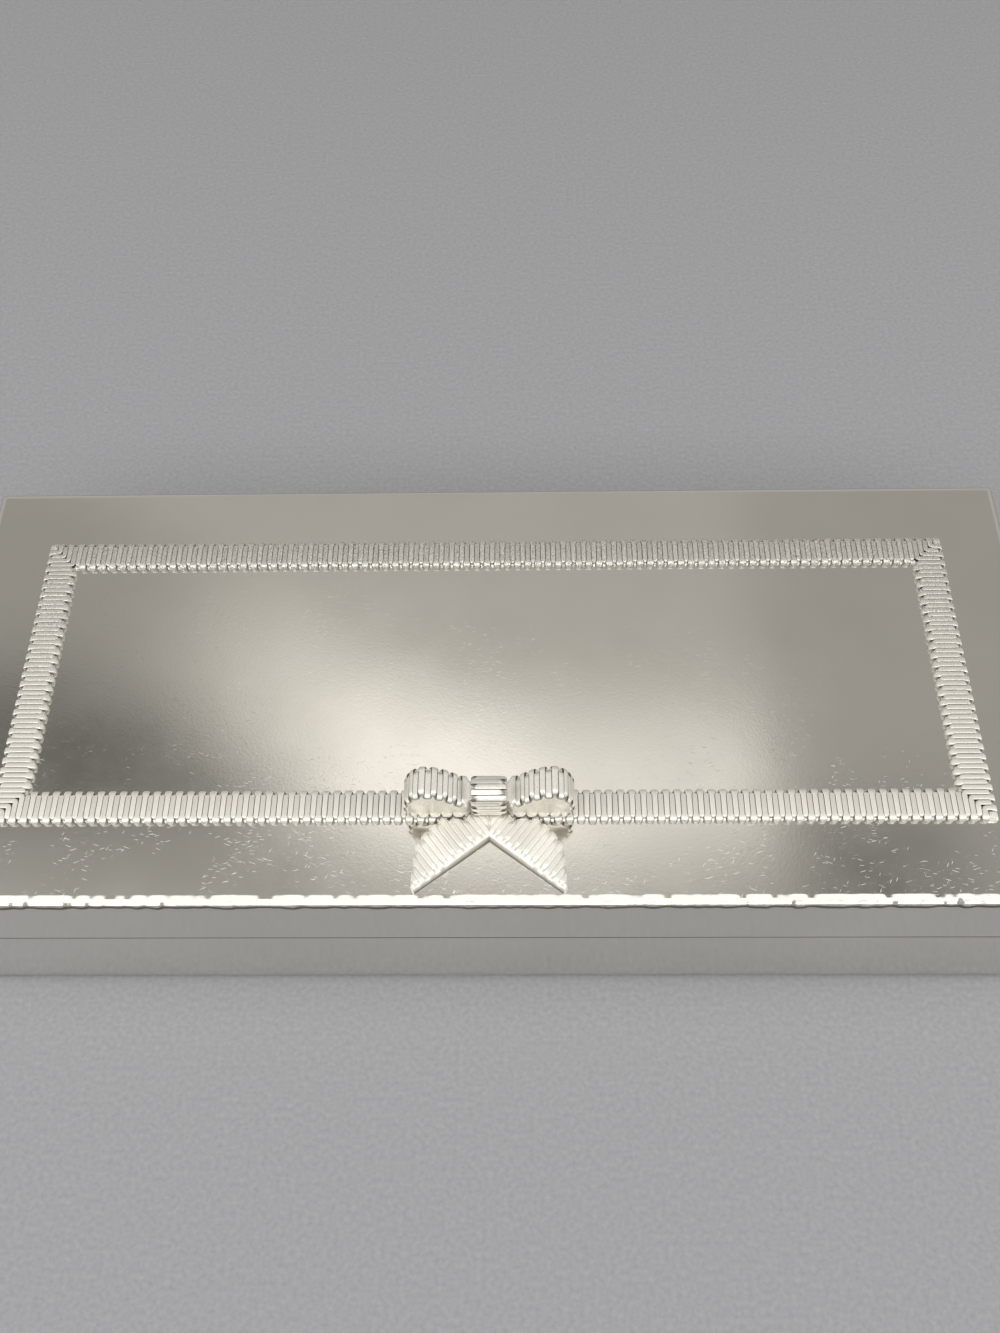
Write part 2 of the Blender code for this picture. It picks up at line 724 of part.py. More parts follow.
def build_bow():
    bow_loop("bow_right_loop", 1)
    bow_loop("bow_left_loop", -1)
    bow_knot()
    bow_tail("bow_right_tail", 1)
    bow_tail("bow_left_tail", -1)


def main():
    for found in list(bpy.data.objects):
        bpy.data.objects.remove(found, do_unlink=True)
    hinge_slot()
    build_base()
    build_lid()
    build_hinge()
    build_border()
    build_bow()


main()
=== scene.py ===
"""Silver-plated jewellery box, its lid trimmed with a ribbed ribbon border and a bow.

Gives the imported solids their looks. X runs along the box, -Y is the front and Z is up, in metres.
"""

import math

import bmesh
import bpy
from mathutils import Matrix, Vector


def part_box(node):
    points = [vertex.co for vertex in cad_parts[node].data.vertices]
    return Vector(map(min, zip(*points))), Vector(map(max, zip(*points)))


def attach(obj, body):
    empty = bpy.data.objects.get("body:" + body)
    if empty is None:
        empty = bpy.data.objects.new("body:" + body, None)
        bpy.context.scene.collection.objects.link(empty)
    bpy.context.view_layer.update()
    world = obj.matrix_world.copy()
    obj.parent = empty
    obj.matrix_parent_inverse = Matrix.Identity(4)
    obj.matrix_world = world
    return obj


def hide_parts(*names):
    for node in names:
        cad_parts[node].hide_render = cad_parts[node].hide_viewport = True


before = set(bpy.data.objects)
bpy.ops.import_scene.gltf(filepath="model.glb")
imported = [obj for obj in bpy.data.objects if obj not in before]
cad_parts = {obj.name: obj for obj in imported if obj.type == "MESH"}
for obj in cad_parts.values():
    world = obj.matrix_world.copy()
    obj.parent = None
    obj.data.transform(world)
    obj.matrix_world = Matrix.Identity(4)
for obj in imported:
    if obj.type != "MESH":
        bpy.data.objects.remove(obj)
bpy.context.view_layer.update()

MM = 0.001
SHARP = 35  # an edge that turns by more degrees stays sharp


def node_box(name):
    """A node's limits as (x0, x1), (y0, y1), (z0, z1)."""
    low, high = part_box(name)
    return tuple((low[i], high[i]) for i in range(3))


BOX_X, BOX_Y, (BASE_BOTTOM, BASE_RIM) = node_box("base_shell")
LID_RIM, LID_TOP = node_box("lid_shell")[2]
HALF_LENGTH = BOX_X[1]
HALF_DEPTH = BOX_Y[1]
SHEET = 1.0 * MM  # plated sheet's thickness
CORNER_RADIUS = 1.8 * MM
LID_ROLL = (2.2 * MM, 2.1 * MM)  # how far the lid's edge rolls inwards and down
BASE_ROLL = (1.2 * MM, 1.2 * MM)
RIM_ROUND = 0.05 * MM  # a rim's worn corners
RIM_TUCK = 0.05 * MM  # the base's rim draws in under the lid's
HINGE_Y = HALF_DEPTH - 1.8 * MM
HINGE_Z = (BASE_RIM + LID_RIM) / 2
HINGE_SLOT = 2.1 * MM  # from the pin to the end of the slot in the shells
SEAT = 0.3 * MM  # gap under a piece that is soldered on

# Ribbon border
BORDER_X, BORDER_Y, (_, BORDER_TOP) = node_box("ribbon_border")
BORDER_MIDDLE_Y = (BORDER_Y[0] + BORDER_Y[1]) / 2
BORDER_HALF_X = BORDER_X[1]
BORDER_HALF_Y = (BORDER_Y[1] - BORDER_Y[0]) / 2
RIBBON_WIDTH = 8.48 * MM
RIB_PITCH = 2.56 * MM
RIB_SETBACK = 1.0 * MM  # every second rib ends this far inside the edge
RIB_FOOT = 0.29  # half a rib's foot, in pitches
RIB_FLARE = 0.41  # the same at its free end
CORNER_RIB = 1.245  # last whole rib from the corner, in pitches
CORNER_BEND = 0.2  # where a rib's bend starts, before the mitre, in pitches
CORNER_BEAD = 0.58  # the bead's middle from both edges, in pitches
# Half of a rib's section from its foot to its crown: how far out, how high, how oxidised.
RIB_SECTION = ((1.0, 0.0, 1.0), (0.86, 0.8, 0.95), (0.72, 0.97, 0.0), (0.5, 1.0, 0.14), (0.0, 1.0, 0.14))

# Bow
LOOP_X, LOOP_Y, LOOP_Z = node_box("bow_right_loop")
KNOT_X, KNOT_Y, KNOT_Z = node_box("bow_knot")
STRIP_Y = BORDER_Y[0] + RIBBON_WIDTH / 2  # middle of the border's front strip
BOW_Y = (LOOP_Y[0] + LOOP_Y[1]) / 2
BOW_PITCH = 2.6 * MM
BOW_THICKNESS = 1.0 * MM
LOOP_WIDTH = LOOP_Y[1] - LOOP_Y[0]
WAIST_WIDTH = 4.6 * MM  # the loops inside the knot
WAIST_HEIGHT = 7.7 * MM
TAIL_ANGLE = math.radians(37.2)  # from the box's length
TAIL_LENGTH = 21.6 * MM
TAIL_CUT = 7.4 * MM  # how far the slanting cut runs along it
TAIL_SHOULDER = 0.9 * MM  # how much wider it is above the cut
TAIL_CROTCH = 7.5 * MM  # from the strip's middle to where the two tails part
TAIL_TIP_LIFT = 0.6 * MM


# ---- small helpers ----


def linear(code):
    """An sRGB hex colour as linear RGBA."""
    values = [int(code[i : i + 2], 16) / 255 for i in (1, 3, 5)]
    return (*[v / 12.92 if v <= 0.04045 else ((v + 0.055) / 1.055) ** 2.4 for v in values], 1.0)


def smooth(value):
    value = min(max(value, 0.0), 1.0)
    return value * value * (3 - 2 * value)


def add_node(tree, kind, inputs=(), **settings):
    """Adds a node with its settings. Its inputs come in their order or by name, and each is given
    a value or the socket that is linked into it."""
    node = tree.nodes.new(kind)
    for name, value in settings.items():
        setattr(node, name, value)
    for key, given in inputs.items() if isinstance(inputs, dict) else enumerate(inputs):
        if isinstance(given, bpy.types.NodeSocket):
            tree.links.new(given, node.inputs[key])
        else:
            node.inputs[key].default_value = given
    return node


def oxide_layer(bm):
    """Where a cast piece is dark: its oxide, 1 in the grooves and 0 on the crowns, and a painted shadow
    along a tail's foot by the lid.
    """
    return bm.verts.layers.float.get("oxide") or bm.verts.layers.float.new("oxide")


def shade(mesh, sharp_degrees):
    mesh.shade_smooth()
    mesh.set_sharp_from_angle(angle=math.radians(sharp_degrees))


def new_object(name, bm, material, sharp_degrees=SHARP):
    """A bmesh as an object at the origin, shaded smooth up to the given angle."""
    bmesh.ops.recalc_face_normals(bm, faces=bm.faces)
    mesh = bpy.data.meshes.new(name)
    bm.to_mesh(mesh)
    bm.free()
    shade(mesh, sharp_degrees)
    mesh.materials.append(material)
    made = bpy.data.objects.new(name, mesh)
    bpy.context.scene.collection.objects.link(made)
    return made


def apply_modifiers(piece):
    """Turns what a piece's modifiers make into its own plain mesh."""
    graph = bpy.context.evaluated_depsgraph_get()
    mesh = bpy.data.meshes.new_from_object(piece.evaluated_get(graph))
    piece.modifiers.clear()
    piece.data = mesh
    return piece


def modify(piece, name, kind, **settings):
    """Changes a piece's mesh by one modifier with these settings."""
    modifier = piece.modifiers.new(name, kind)
    for key, value in settings.items():
        setattr(modifier, key, value)
    return apply_modifiers(piece)


def even_flats(piece):
    """Keeps large flat faces flat beside their rounded edges."""
    return modify(piece, "flat faces stay flat", "WEIGHTED_NORMAL", keep_sharp=True, weight=100)


def finish_piece(piece, body, node):
    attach(piece, body)
    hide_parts(node)


def loft(bm, rings, closed=False):
    """Joins rings of as many points each with quads, and caps the ends or joins them."""
    rows = [[bm.verts.new(point) for point in ring] for ring in rings]
    count = len(rows[0])
    pairs = list(zip(rows, rows[1:]))
    if closed:
        pairs.append((rows[-1], rows[0]))
    else:
        bm.faces.new(rows[0][::-1])
        bm.faces.new(rows[-1])
    for lower, upper in pairs:
        for i in range(count):
            j = (i + 1) % count
            bm.faces.new((lower[i], lower[j], upper[j], upper[i]))


def lofted(name, rings, material, closed=False):
    bm = bmesh.new()
    loft(bm, rings, closed)
    return new_object(name, bm, material)


def rounded_outline(half_x, half_y, radius, z, steps, middle=(0.0, 0.0)):
    """Points round a level rectangle with round corners, anticlockwise."""
    radius = max(radius, 0.02 * MM)
    points = []
    for corner, (sx, sy) in enumerate(((1, -1), (1, 1), (-1, 1), (-1, -1))):
        for step in range(steps + 1):
            angle = math.radians(-90 + 90 * corner + 90 * step / steps)
            x = sx * (half_x - radius) + radius * math.cos(angle)
            y = sy * (half_y - radius) + radius * math.sin(angle)
            points.append((middle[0] + x, middle[1] + y, z))
    return points


# ---- materials ----


def begin_material(name, colour, settings):
    """A new material with its tree, its shader and the place on a piece that patterns start from."""
    made = bpy.data.materials.new(name)
    made.use_nodes = True
    tree = made.node_tree
    shader = tree.nodes["Principled BSDF"]
    shader.inputs["Base Color"].default_value = linear(colour)
    for key, value in settings.items():
        shader.inputs[key].default_value = value
    place = add_node(tree, "ShaderNodeTexCoord").outputs["Object"]
    return made, tree, shader, place


def show_pattern(tree, shader, pattern, colours=None, roughness=None, relief=None):
    """Lets a pattern show in a material: as a tint between two colours, where None is the tint so
    far, as a roughness that goes from one value to another between two of the pattern's, or as a
    relief of some strength and depth upon the one so far."""
    if colours:
        tint = add_node(tree, "ShaderNodeMix", {"Factor": pattern}, data_type="RGBA")
        for end, code in zip("AB", colours):
            if code:
                tint.inputs[end].default_value = linear(code)
            else:
                tree.links.new(shader.inputs["Base Color"].links[0].from_socket, tint.inputs[end])
        tree.links.new(tint.outputs["Result"], shader.inputs["Base Color"])
    if roughness:
        rough = add_node(tree, "ShaderNodeMapRange", (pattern, *roughness))
        tree.links.new(rough.outputs["Result"], shader.inputs["Roughness"])
    if relief:
        inputs = {"Strength": relief[0], "Distance": relief[1], "Height": pattern}
        if shader.inputs["Normal"].links:
            inputs["Normal"] = shader.inputs["Normal"].links[0].from_socket
        bump = add_node(tree, "ShaderNodeBump", inputs)
        tree.links.new(bump.outputs["Normal"], shader.inputs["Normal"])


def polished_silver_plate():
    """Brass sheet plated with silver and polished by hand: reflections a little soft and
    wavy, hairlines from years of cleaning, small pits that gather towards the front, and a
    front edge that was rolled over a former, so that its glint is broken."""
    made, tree, shader, place = begin_material(
        "polished_silver_plate", "#e6e4dc", {"Roughness": 0.14, "Metallic": 1.0}
    )
    axes = add_node(tree, "ShaderNodeSeparateXYZ", (place,)).outputs
    # How far a place lies towards the front, on the lid's face, over its front edge and above it.
    front, on_face, at_edge, over_edge = (
        add_node(
            tree, "ShaderNodeMapRange", (axes[axis], start, end, least), interpolation_type=kind
        ).outputs["Result"]
        for axis, start, end, least, kind in (
            ("Y", -15 * MM, -45 * MM, 0.12, "LINEAR"),
            ("Z", LID_TOP - 2.0 * MM, LID_TOP - 1.2 * MM, 0.0, "SMOOTHSTEP"),
            ("Y", -HALF_DEPTH + 3.1 * MM, -HALF_DEPTH + 1.3 * MM, 0.0, "SMOOTHSTEP"),
            ("Z", LID_TOP - 2.2 * MM, LID_TOP - 0.4 * MM, 0.0, "SMOOTHSTEP"),
        )
    )
    # Hairlines are some 0.02 mm wide; they are drawn 0.08 mm wide, so that they show. The wall of
    # each leans its own way, most of them forwards, so that some glint and some stay dull. The
    # last row is the pits.
    lean = (0.0, 0.0, 0.0)
    for turn, length, gap, share in (
        (0.3, 15 * MM, 0.85 * MM, 0.054),
        (-0.35, 18 * MM, 0.9 * MM, 0.05),
        (1.1, 14 * MM, 1.1 * MM, 0.044),
        (-0.08, 10 * MM, 0.7 * MM, 0.06),
        (0.1, 1.9 * MM, 1.9 * MM, 0.034),
    ):
        stretched = add_node(
            tree,
            "ShaderNodeMapping",
            {"Vector": place, "Rotation": (0.0, 0.0, turn), "Scale": (length, gap, 1.0)},
            vector_type="TEXTURE",
        ).outputs["Vector"]
        cells = add_node(
            tree, "ShaderNodeTexVoronoi", {"Vector": stretched, "Scale": 1.0}, voronoi_dimensions="2D"
        ).outputs
        across = (cells["Distance"], share, 0.4 * share)
        stroke = add_node(tree, "ShaderNodeMapRange", across).outputs["Result"]
        wall = (cells["Color"], (0.7, 0.7, 0.0), (-0.35, -0.5, 0.0))
        wall = add_node(tree, "ShaderNodeVectorMath", wall, operation="MULTIPLY_ADD").outputs[0]
        wall = add_node(tree, "ShaderNodeVectorMath", {0: wall, "Scale": stroke}, operation="SCALE")
        lean = add_node(tree, "ShaderNodeVectorMath", (lean, wall.outputs[0]), operation="ADD").outputs[0]
    worn = add_node(tree, "ShaderNodeTexNoise", {"Vector": place, "Scale": 1 / (14 * MM)}).outputs["Fac"]
    wear = add_node(tree, "ShaderNodeMapRange", (worn, 0.42, 0.58)).outputs["Result"]
    for limit in (front, on_face):
        wear = add_node(tree, "ShaderNodeMath", (wear, limit), operation="MULTIPLY").outputs[0]
    lean = add_node(tree, "ShaderNodeVectorMath", {0: lean, "Scale": wear}, operation="SCALE").outputs[0]

    tarnish = add_node(
        tree, "ShaderNodeTexNoise", {"Vector": place, "Scale": 1 / (40 * MM), "Detail": 4.0}
    ).outputs["Fac"]
    show_pattern(tree, shader, tarnish, colours=("#eeece6", "#dddbd2"))
    # Painted shade: a dark band along the seam between the lid's and the base's rims, where the gap
    # between them lies in shadow.
    apart = add_node(tree, "ShaderNodeMath", (axes["Z"], HINGE_Z), operation="SUBTRACT").outputs[0]
    apart = add_node(tree, "ShaderNodeMath", (apart,), operation="ABSOLUTE").outputs[0]
    seam_shade = add_node(tree, "ShaderNodeMapRange", (apart, 0.34 * MM, 0.2 * MM, 0.0, 0.8)).outputs["Result"]
    show_pattern(tree, shader, seam_shade, colours=(None, "#2f2c28"))

    handling = add_node(
        tree,
        "ShaderNodeTexNoise",
        {"Vector": place, "Scale": 1 / (25 * MM), "Detail": 5.0, "Roughness": 0.65},
    ).outputs["Fac"]
    show_pattern(tree, shader, handling, roughness=(0.3, 0.75, 0.1, 0.16))

    sway = add_node(
        tree, "ShaderNodeTexNoise", {"Vector": place, "Scale": 1 / (45 * MM), "Detail": 1.0}
    ).outputs["Fac"]
    show_pattern(tree, shader, sway, relief=(1.0, 0.1 * MM))
    stretch = (1 / (2.7 * MM), 1 / (40 * MM), 1 / (40 * MM))
    along = add_node(tree, "ShaderNodeMapping", {"Vector": place, "Scale": stretch}).outputs["Vector"]
    uneven = add_node(
        tree, "ShaderNodeTexNoise", {"Vector": along, "Scale": 1.0, "Detail": 0.0}
    ).outputs["Fac"]
    beaten = add_node(tree, "ShaderNodeMapRange", (uneven, 0.25, 0.75)).outputs["Result"]
    for limit in (at_edge, over_edge):
        beaten = add_node(tree, "ShaderNodeMath", (beaten, limit), operation="MULTIPLY").outputs[0]
    show_pattern(tree, shader, beaten, relief=(1.0, -0.3 * MM))
    grit = add_node(tree, "ShaderNodeTexNoise", {"Vector": place, "Scale": 1 / (0.6 * MM)}).outputs["Fac"]
    show_pattern(tree, shader, grit, relief=(0.5, 0.01 * MM))
    relief = shader.inputs["Normal"].links[0].from_socket
    cut = add_node(tree, "ShaderNodeVectorMath", (relief, lean), operation="ADD").outputs[0]
    cut = add_node(tree, "ShaderNodeVectorMath", (cut,), operation="NORMALIZE").outputs[0]
    tree.links.new(cut, shader.inputs["Normal"])
    return made


def cast_silver_plate():
    """Trim cast in the mould and silver plated, hardly polished: a satin shine with a fine
    sandy grain, a warm yellowish plate, dark oxide left in the grooves, and dark speckles that
    grow darker towards the back."""
    made, tree, shader, place = begin_material(
        "cast_silver_plate", "#f6f2e6", {"Roughness": 0.58, "Metallic": 1.0}
    )
    # The oxide attribute also carries the painted shadow along the tails' foot.
    oxide = add_node(tree, "ShaderNodeAttribute", attribute_name="oxide").outputs["Fac"]
    depth = add_node(tree, "ShaderNodeSeparateXYZ", (place,)).outputs["Y"]
    tarnish = add_node(tree, "ShaderNodeMapRange", (depth, -30 * MM, 36 * MM, 0.2, 0.9)).outputs["Result"]
    # The casting sand's grit is 0.1 mm; it is drawn 0.22 mm, so that it shows.
    grain = add_node(
        tree,
        "ShaderNodeTexNoise",
        {"Vector": place, "Scale": 1 / (0.22 * MM), "Detail": 3.0, "Roughness": 0.65},
    ).outputs["Fac"]
    speckle = add_node(tree, "ShaderNodeMapRange", (grain, 0.42, 0.66, 0.0, tarnish)).outputs["Result"]
    dark = add_node(tree, "ShaderNodeMath", (oxide, speckle), operation="MAXIMUM").outputs[0]
    show_pattern(tree, shader, dark, colours=("#fefbf3", "#2f2c23"))
    show_pattern(tree, shader, grain, roughness=(0.3, 0.75, 0.45, 0.65), relief=(0.6, 0.05 * MM))
    return made


def nickel_hinge_steel():
    """Rolled steel hinge, nickel plated: drawn along its length, so its shine is streaked."""
    made, tree, shader, place = begin_material(
        "nickel_plated_hinge", "#b9b4a9", {"Roughness": 0.3, "Metallic": 1.0}
    )
    drawn = add_node(
        tree,
        "ShaderNodeMapping",
        {"Vector": place, "Scale": (1 / (8 * MM), 1 / (0.15 * MM), 1 / (0.15 * MM))},
    ).outputs["Vector"]
    lines = add_node(
        tree, "ShaderNodeTexNoise", {"Vector": drawn, "Scale": 1.0, "Detail": 3.0}
    ).outputs["Fac"]
    show_pattern(tree, shader, lines, ("#a9a498", "#c9c4b8"), (0.3, 0.7, 0.22, 0.4), (0.3, 0.02 * MM))
    return made


def cotton_velvet():
    """Cotton velvet glued over card and foam: a short dense pile that lightens at grazing
    angles and shows patches where it has been brushed one way or the other."""
    sheen = {"Sheen Weight": 0.8, "Sheen Roughness": 0.35, "Sheen Tint": linear("#a5b0c9")}
    made, tree, shader, place = begin_material(
        "slate_cotton_velvet", "#2c3342", {"Roughness": 0.95, "Specular IOR Level": 0.15, **sheen}
    )
    brushed = {"Vector": place, "Scale": 1 / (22 * MM), "Detail": 5.0, "Distortion": 0.6}
    brushed = add_node(tree, "ShaderNodeTexNoise", brushed).outputs["Fac"]
    nap = add_node(
        tree, "ShaderNodeMapRange", (brushed, 0.3, 0.7, 0.0, 0.45), interpolation_type="SMOOTHSTEP"
    ).outputs["Result"]
    # The pile's tufts are 0.1 mm; they are drawn 0.35 mm, so that they show.
    tufts = add_node(
        tree,
        "ShaderNodeTexNoise",
        {"Vector": place, "Scale": 1 / (0.35 * MM), "Detail": 3.0, "Roughness": 0.7},
    ).outputs["Fac"]
    mixed = add_node(tree, "ShaderNodeMath", (tufts, 0.4, nap), operation="MULTIPLY_ADD").outputs[0]
    show_pattern(tree, shader, mixed, colours=("#242a38", "#3d475d"))
    show_pattern(tree, shader, tufts, relief=(0.7, 0.12 * MM))
    return made


def wool_felt():
    """Pressed wool felt under the base: matt, with matted fibres some 0.5 mm across."""
    sheen = {"Sheen Weight": 0.4, "Sheen Roughness": 0.6}
    made, tree, shader, place = begin_material(
        "pressed_wool_felt", "#26282d", {"Roughness": 1.0, "Specular IOR Level": 0.1, **sheen}
    )
    fibres = add_node(
        tree,
        "ShaderNodeTexNoise",
        {"Vector": place, "Scale": 1 / (0.5 * MM), "Detail": 5.0, "Roughness": 0.75},
    ).outputs["Fac"]
    show_pattern(tree, shader, fibres, colours=("#1b1d21", "#3a3d44"), relief=(0.9, 0.15 * MM))
    return made


SILVER = polished_silver_plate()
CAST_SILVER = cast_silver_plate()
HINGE_STEEL = nickel_hinge_steel()
VELVET = cotton_velvet()
FELT = wool_felt()


# ---- the two shells of plated sheet ----


def shell_skin(name, node, body, closed_z, rim_z, roll, tuck):
    """An open tray of sheet: round corners, a rolled edge at the closed side, a soft rim."""
    inwards = 1 if rim_z > closed_z else -1
    corner_steps, edge_steps, rim_steps, fillet_steps = 8, 10, 6, 3
    fillet = 0.4 * MM
    rings = []

    def ring(inset, z):
        radius = max(CORNER_RADIUS - inset, 0.3 * MM)
        half_x, half_y = HALF_LENGTH - inset, HALF_DEPTH - inset
        rings.append(rounded_outline(half_x, half_y, radius, z, corner_steps))

    for step in range(edge_steps + 1):
        angle = math.radians(90) * step / edge_steps
        ring(roll[0] * (1 - math.sin(angle)), closed_z + inwards * roll[1] * (1 - math.cos(angle)))
    ring(0.0, rim_z - inwards * 0.8 * MM)
    for step in range(rim_steps + 1):
        angle = math.radians(180) * step / rim_steps
        inset = max(SHEET / 2 - (SHEET / 2) * math.cos(angle), tuck)
        ring(inset, rim_z - inwards * RIM_ROUND * (1 - math.sin(angle) ** 0.7))
    for step in range(fillet_steps + 1):
        angle = math.radians(90) * step / fillet_steps
        z = closed_z + inwards * (SHEET + fillet * (1 - math.sin(angle)))
        ring(SHEET + fillet * (1 - math.cos(angle)), z)
    piece = lofted(name, rings, SILVER)

    past = 5 * MM
    x, y0, y1 = HALF_LENGTH + past, HINGE_Y - HINGE_SLOT, HALF_DEPTH + past
    levels = (HINGE_Z - HINGE_SLOT, HINGE_Z + HINGE_SLOT)
    cutter = lofted(
        "hinge_slot_cutter", [[(-x, y0, z), (x, y0, z), (x, y1, z), (-x, y1, z)] for z in levels], SILVER
    )
    modify(piece, "hinge slot", "BOOLEAN", object=cutter, operation="DIFFERENCE", solver="EXACT")
    bpy.data.objects.remove(cutter)
    shade(piece.data, SHARP)
    finish_piece(even_flats(piece), body, node)


shell_skin("lid_plate", "lid_shell", "lid", LID_TOP, LID_RIM, LID_ROLL, 0.0)
shell_skin("base_plate", "base_shell", "base", BASE_BOTTOM, BASE_RIM, BASE_ROLL, RIM_TUCK)


# ---- ribbon border ----

# A rib's ends from the tip inwards: how far along, half its foot, its share of the height.
FREE_END = (
    (0.0, 0.0, 0.0),
    (0.05, 0.2, 0.36),
    (0.15, 0.32, 0.7),
    (0.28, 0.39, 0.91),
    (0.45, RIB_FLARE, 1.0),
    (0.75, RIB_FOOT, 1.0),
)
CLOSED_END = ((0.0, 0.0, 0.0), (0.06, 0.17, 0.6), (0.25, RIB_FOOT, 1.0))


def ridge(bm, line, first_end, last_end):
    """A cast ridge on the lid along a line of (x, y) points, with the given ends."""
    points = [Vector(p) for p in line]
    stations = []
    first = (points[1] - points[0]).normalized()
    for along, half, share in first_end:
        stations.append((points[0] + first * along * RIB_PITCH, first, half, share))
    for before, point, after in zip(points, points[1:], points[2:]):
        mitre = (point - before).normalized() + (after - point).normalized()
        stations.append((point, mitre.normalized(), RIB_FOOT * 2 / mitre.length, 1.0))
    last = (points[-1] - points[-2]).normalized()
    for along, half, share in reversed(last_end):
        stations.append((points[-1] - last * along * RIB_PITCH, last, half, share))
    section = [
        (side * out, up, dark)
        for side, part in ((1, RIB_SECTION), (-1, RIB_SECTION[-2::-1]))
        for out, up, dark in part
    ]
    height = BORDER_TOP - LID_TOP
    oxide = oxide_layer(bm)
    grid = []
    for point, along, half, share in stations:
        if half == 0.0:
            tip = bm.verts.new((point.x, point.y, LID_TOP))
            tip[oxide] = 0.5
            grid.append([tip] * len(section))
            continue
        across = Vector((along.y, -along.x)) * half * RIB_PITCH
        row = []
        for out, up, dark in section:
            foot = point + across * out
            row.append(bm.verts.new((foot.x, foot.y, LID_TOP + height * share * up)))
            row[-1][oxide] = dark * (1.0 if share == 1.0 else 0.6)
        grid.append(row)
    for a, b in zip(grid, grid[1:]):
        for i in range(len(section) - 1):
            bm.faces.new(list(dict.fromkeys((a[i], a[i + 1], b[i + 1], b[i]))))
    bm.faces.new(list(dict.fromkeys([row[0] for row in grid] + [row[-1] for row in reversed(grid)])))


def border_tree():
    """Geometry nodes: ribs along the four sides of a frame. One row reaches its outer edge; the
    row between, turned end for end, reaches its inner edge."""
    tree = bpy.data.node_groups.new("ribbon border", "GeometryNodeTree")
    sockets = {}
    tree.interface.new_socket("Rib", in_out="INPUT", socket_type="NodeSocketGeometry")
    for name in ("Pitch", "Half Length", "Half Depth", "Ribbon Width", "Set Back", "Base Height"):
        sockets[name] = tree.interface.new_socket(name, in_out="INPUT", socket_type="NodeSocketFloat")
    for name in ("Long Ribs", "Short Ribs", "Seed"):
        sockets[name] = tree.interface.new_socket(name, in_out="INPUT", socket_type="NodeSocketInt")
    tree.interface.new_socket("Border", in_out="OUTPUT", socket_type="NodeSocketGeometry")
    group = add_node(tree, "NodeGroupInput").outputs
    room = add_node(
        tree, "ShaderNodeMath", (group["Ribbon Width"], group["Set Back"]), operation="SUBTRACT"
    ).outputs[0]
    middle = add_node(tree, "ShaderNodeMath", (room, 0.5), operation="MULTIPLY").outputs[0]
    whole = add_node(tree, "GeometryNodeJoinGeometry")
    for turn in (0, 90, 180, 270):
        half, ribs = ("Half Length", "Short Ribs") if turn % 180 else ("Half Depth", "Long Ribs")
        outer = add_node(tree, "ShaderNodeMath", (middle, group[half]), operation="SUBTRACT").outputs[0]
        for inner in (0, 1):
            # The outer row has a rib on the side's middle; the inner row has one fewer.
            count = add_node(
                tree, "ShaderNodeMath", (group[ribs], 2.0, 1.0 - inner), operation="MULTIPLY_ADD"
            ).outputs[0]
            steps = add_node(
                tree, "ShaderNodeMath", (0.5 * inner, group[ribs]), operation="SUBTRACT"
            ).outputs[0]
            start_x = add_node(
                tree, "ShaderNodeMath", (steps, group["Pitch"]), operation="MULTIPLY"
            ).outputs[0]
            start_y = add_node(
                tree, "ShaderNodeMath", (group["Set Back"], float(inner), outer), operation="MULTIPLY_ADD"
            ).outputs[0]
            start = add_node(
                tree, "ShaderNodeCombineXYZ", {"X": start_x, "Y": start_y, "Z": group["Base Height"]}
            )
            step = add_node(tree, "ShaderNodeCombineXYZ", {"X": group["Pitch"]})
            line = add_node(
                tree,
                "GeometryNodeMeshLine",
                {"Count": count, "Start Location": start.outputs[0], "Offset": step.outputs[0]},
                mode="OFFSET",
            )
            seed = add_node(
                tree, "ShaderNodeMath", (group["Seed"], float(turn + inner)), operation="ADD"
            ).outputs[0]
            jitter = add_node(
                tree,
                "FunctionNodeRandomValue",
                {"Min": (0.985, 0.985, 0.94), "Max": (1.015, 1.004, 1.0), "Seed": seed},
                data_type="FLOAT_VECTOR",
            )
            placed = add_node(
                tree,
                "GeometryNodeInstanceOnPoints",
                {
                    "Points": line.outputs["Mesh"],
                    "Instance": group["Rib"],
                    "Rotation": (0.0, 0.0, math.pi * inner),
                    "Scale": jitter.outputs["Value"],
                },
            )
            turned = add_node(
                tree,
                "GeometryNodeTransform",
                {"Geometry": placed.outputs["Instances"], "Rotation": (0.0, 0.0, math.radians(turn))},
            )
            tree.links.new(turned.outputs["Geometry"], whole.inputs[0])
    solid = add_node(tree, "GeometryNodeRealizeInstances", {"Geometry": whole.outputs[0]})
    finish = add_node(
        tree, "GeometryNodeSetMaterial", {"Geometry": solid.outputs[0], "Material": CAST_SILVER}
    )
    add_node(tree, "NodeGroupOutput", (finish.outputs["Geometry"],))
    return tree, {name: socket.identifier for name, socket in sockets.items()}


def border_ribs():
    half = (RIBBON_WIDTH - RIB_SETBACK) / 2
    bm = bmesh.new()
    ridge(bm, [(0.0, -half), (0.0, half)], FREE_END, CLOSED_END)
    bmesh.ops.translate(bm, verts=bm.verts, vec=(0.0, 0.0, -LID_TOP))
    piece = new_object("border_ribs", bm, CAST_SILVER, sharp_degrees=60)
    tree, identifiers = border_tree()
    modifier = piece.modifiers.new("ribbon border", "NODES")
    modifier.node_group = tree
    for name, given in (
        ("Pitch", RIB_PITCH),
        ("Half Length", BORDER_HALF_X),
        ("Half Depth", BORDER_HALF_Y),
        ("Ribbon Width", RIBBON_WIDTH),
        ("Set Back", RIB_SETBACK),
        ("Base Height", LID_TOP),
        ("Long Ribs", round(BORDER_HALF_X / RIB_PITCH - CORNER_RIB) - 2),
        ("Short Ribs", round(BORDER_HALF_Y / RIB_PITCH - CORNER_RIB) - 2),
        ("Seed", 7),
    ):
        modifier[identifiers[name]] = given
    apply_modifiers(piece)
    piece.data.transform(Matrix.Translation((0.0, BORDER_MIDDLE_Y, 0.0)))
    finish_piece(even_flats(piece), "lid", "ribbon_border")


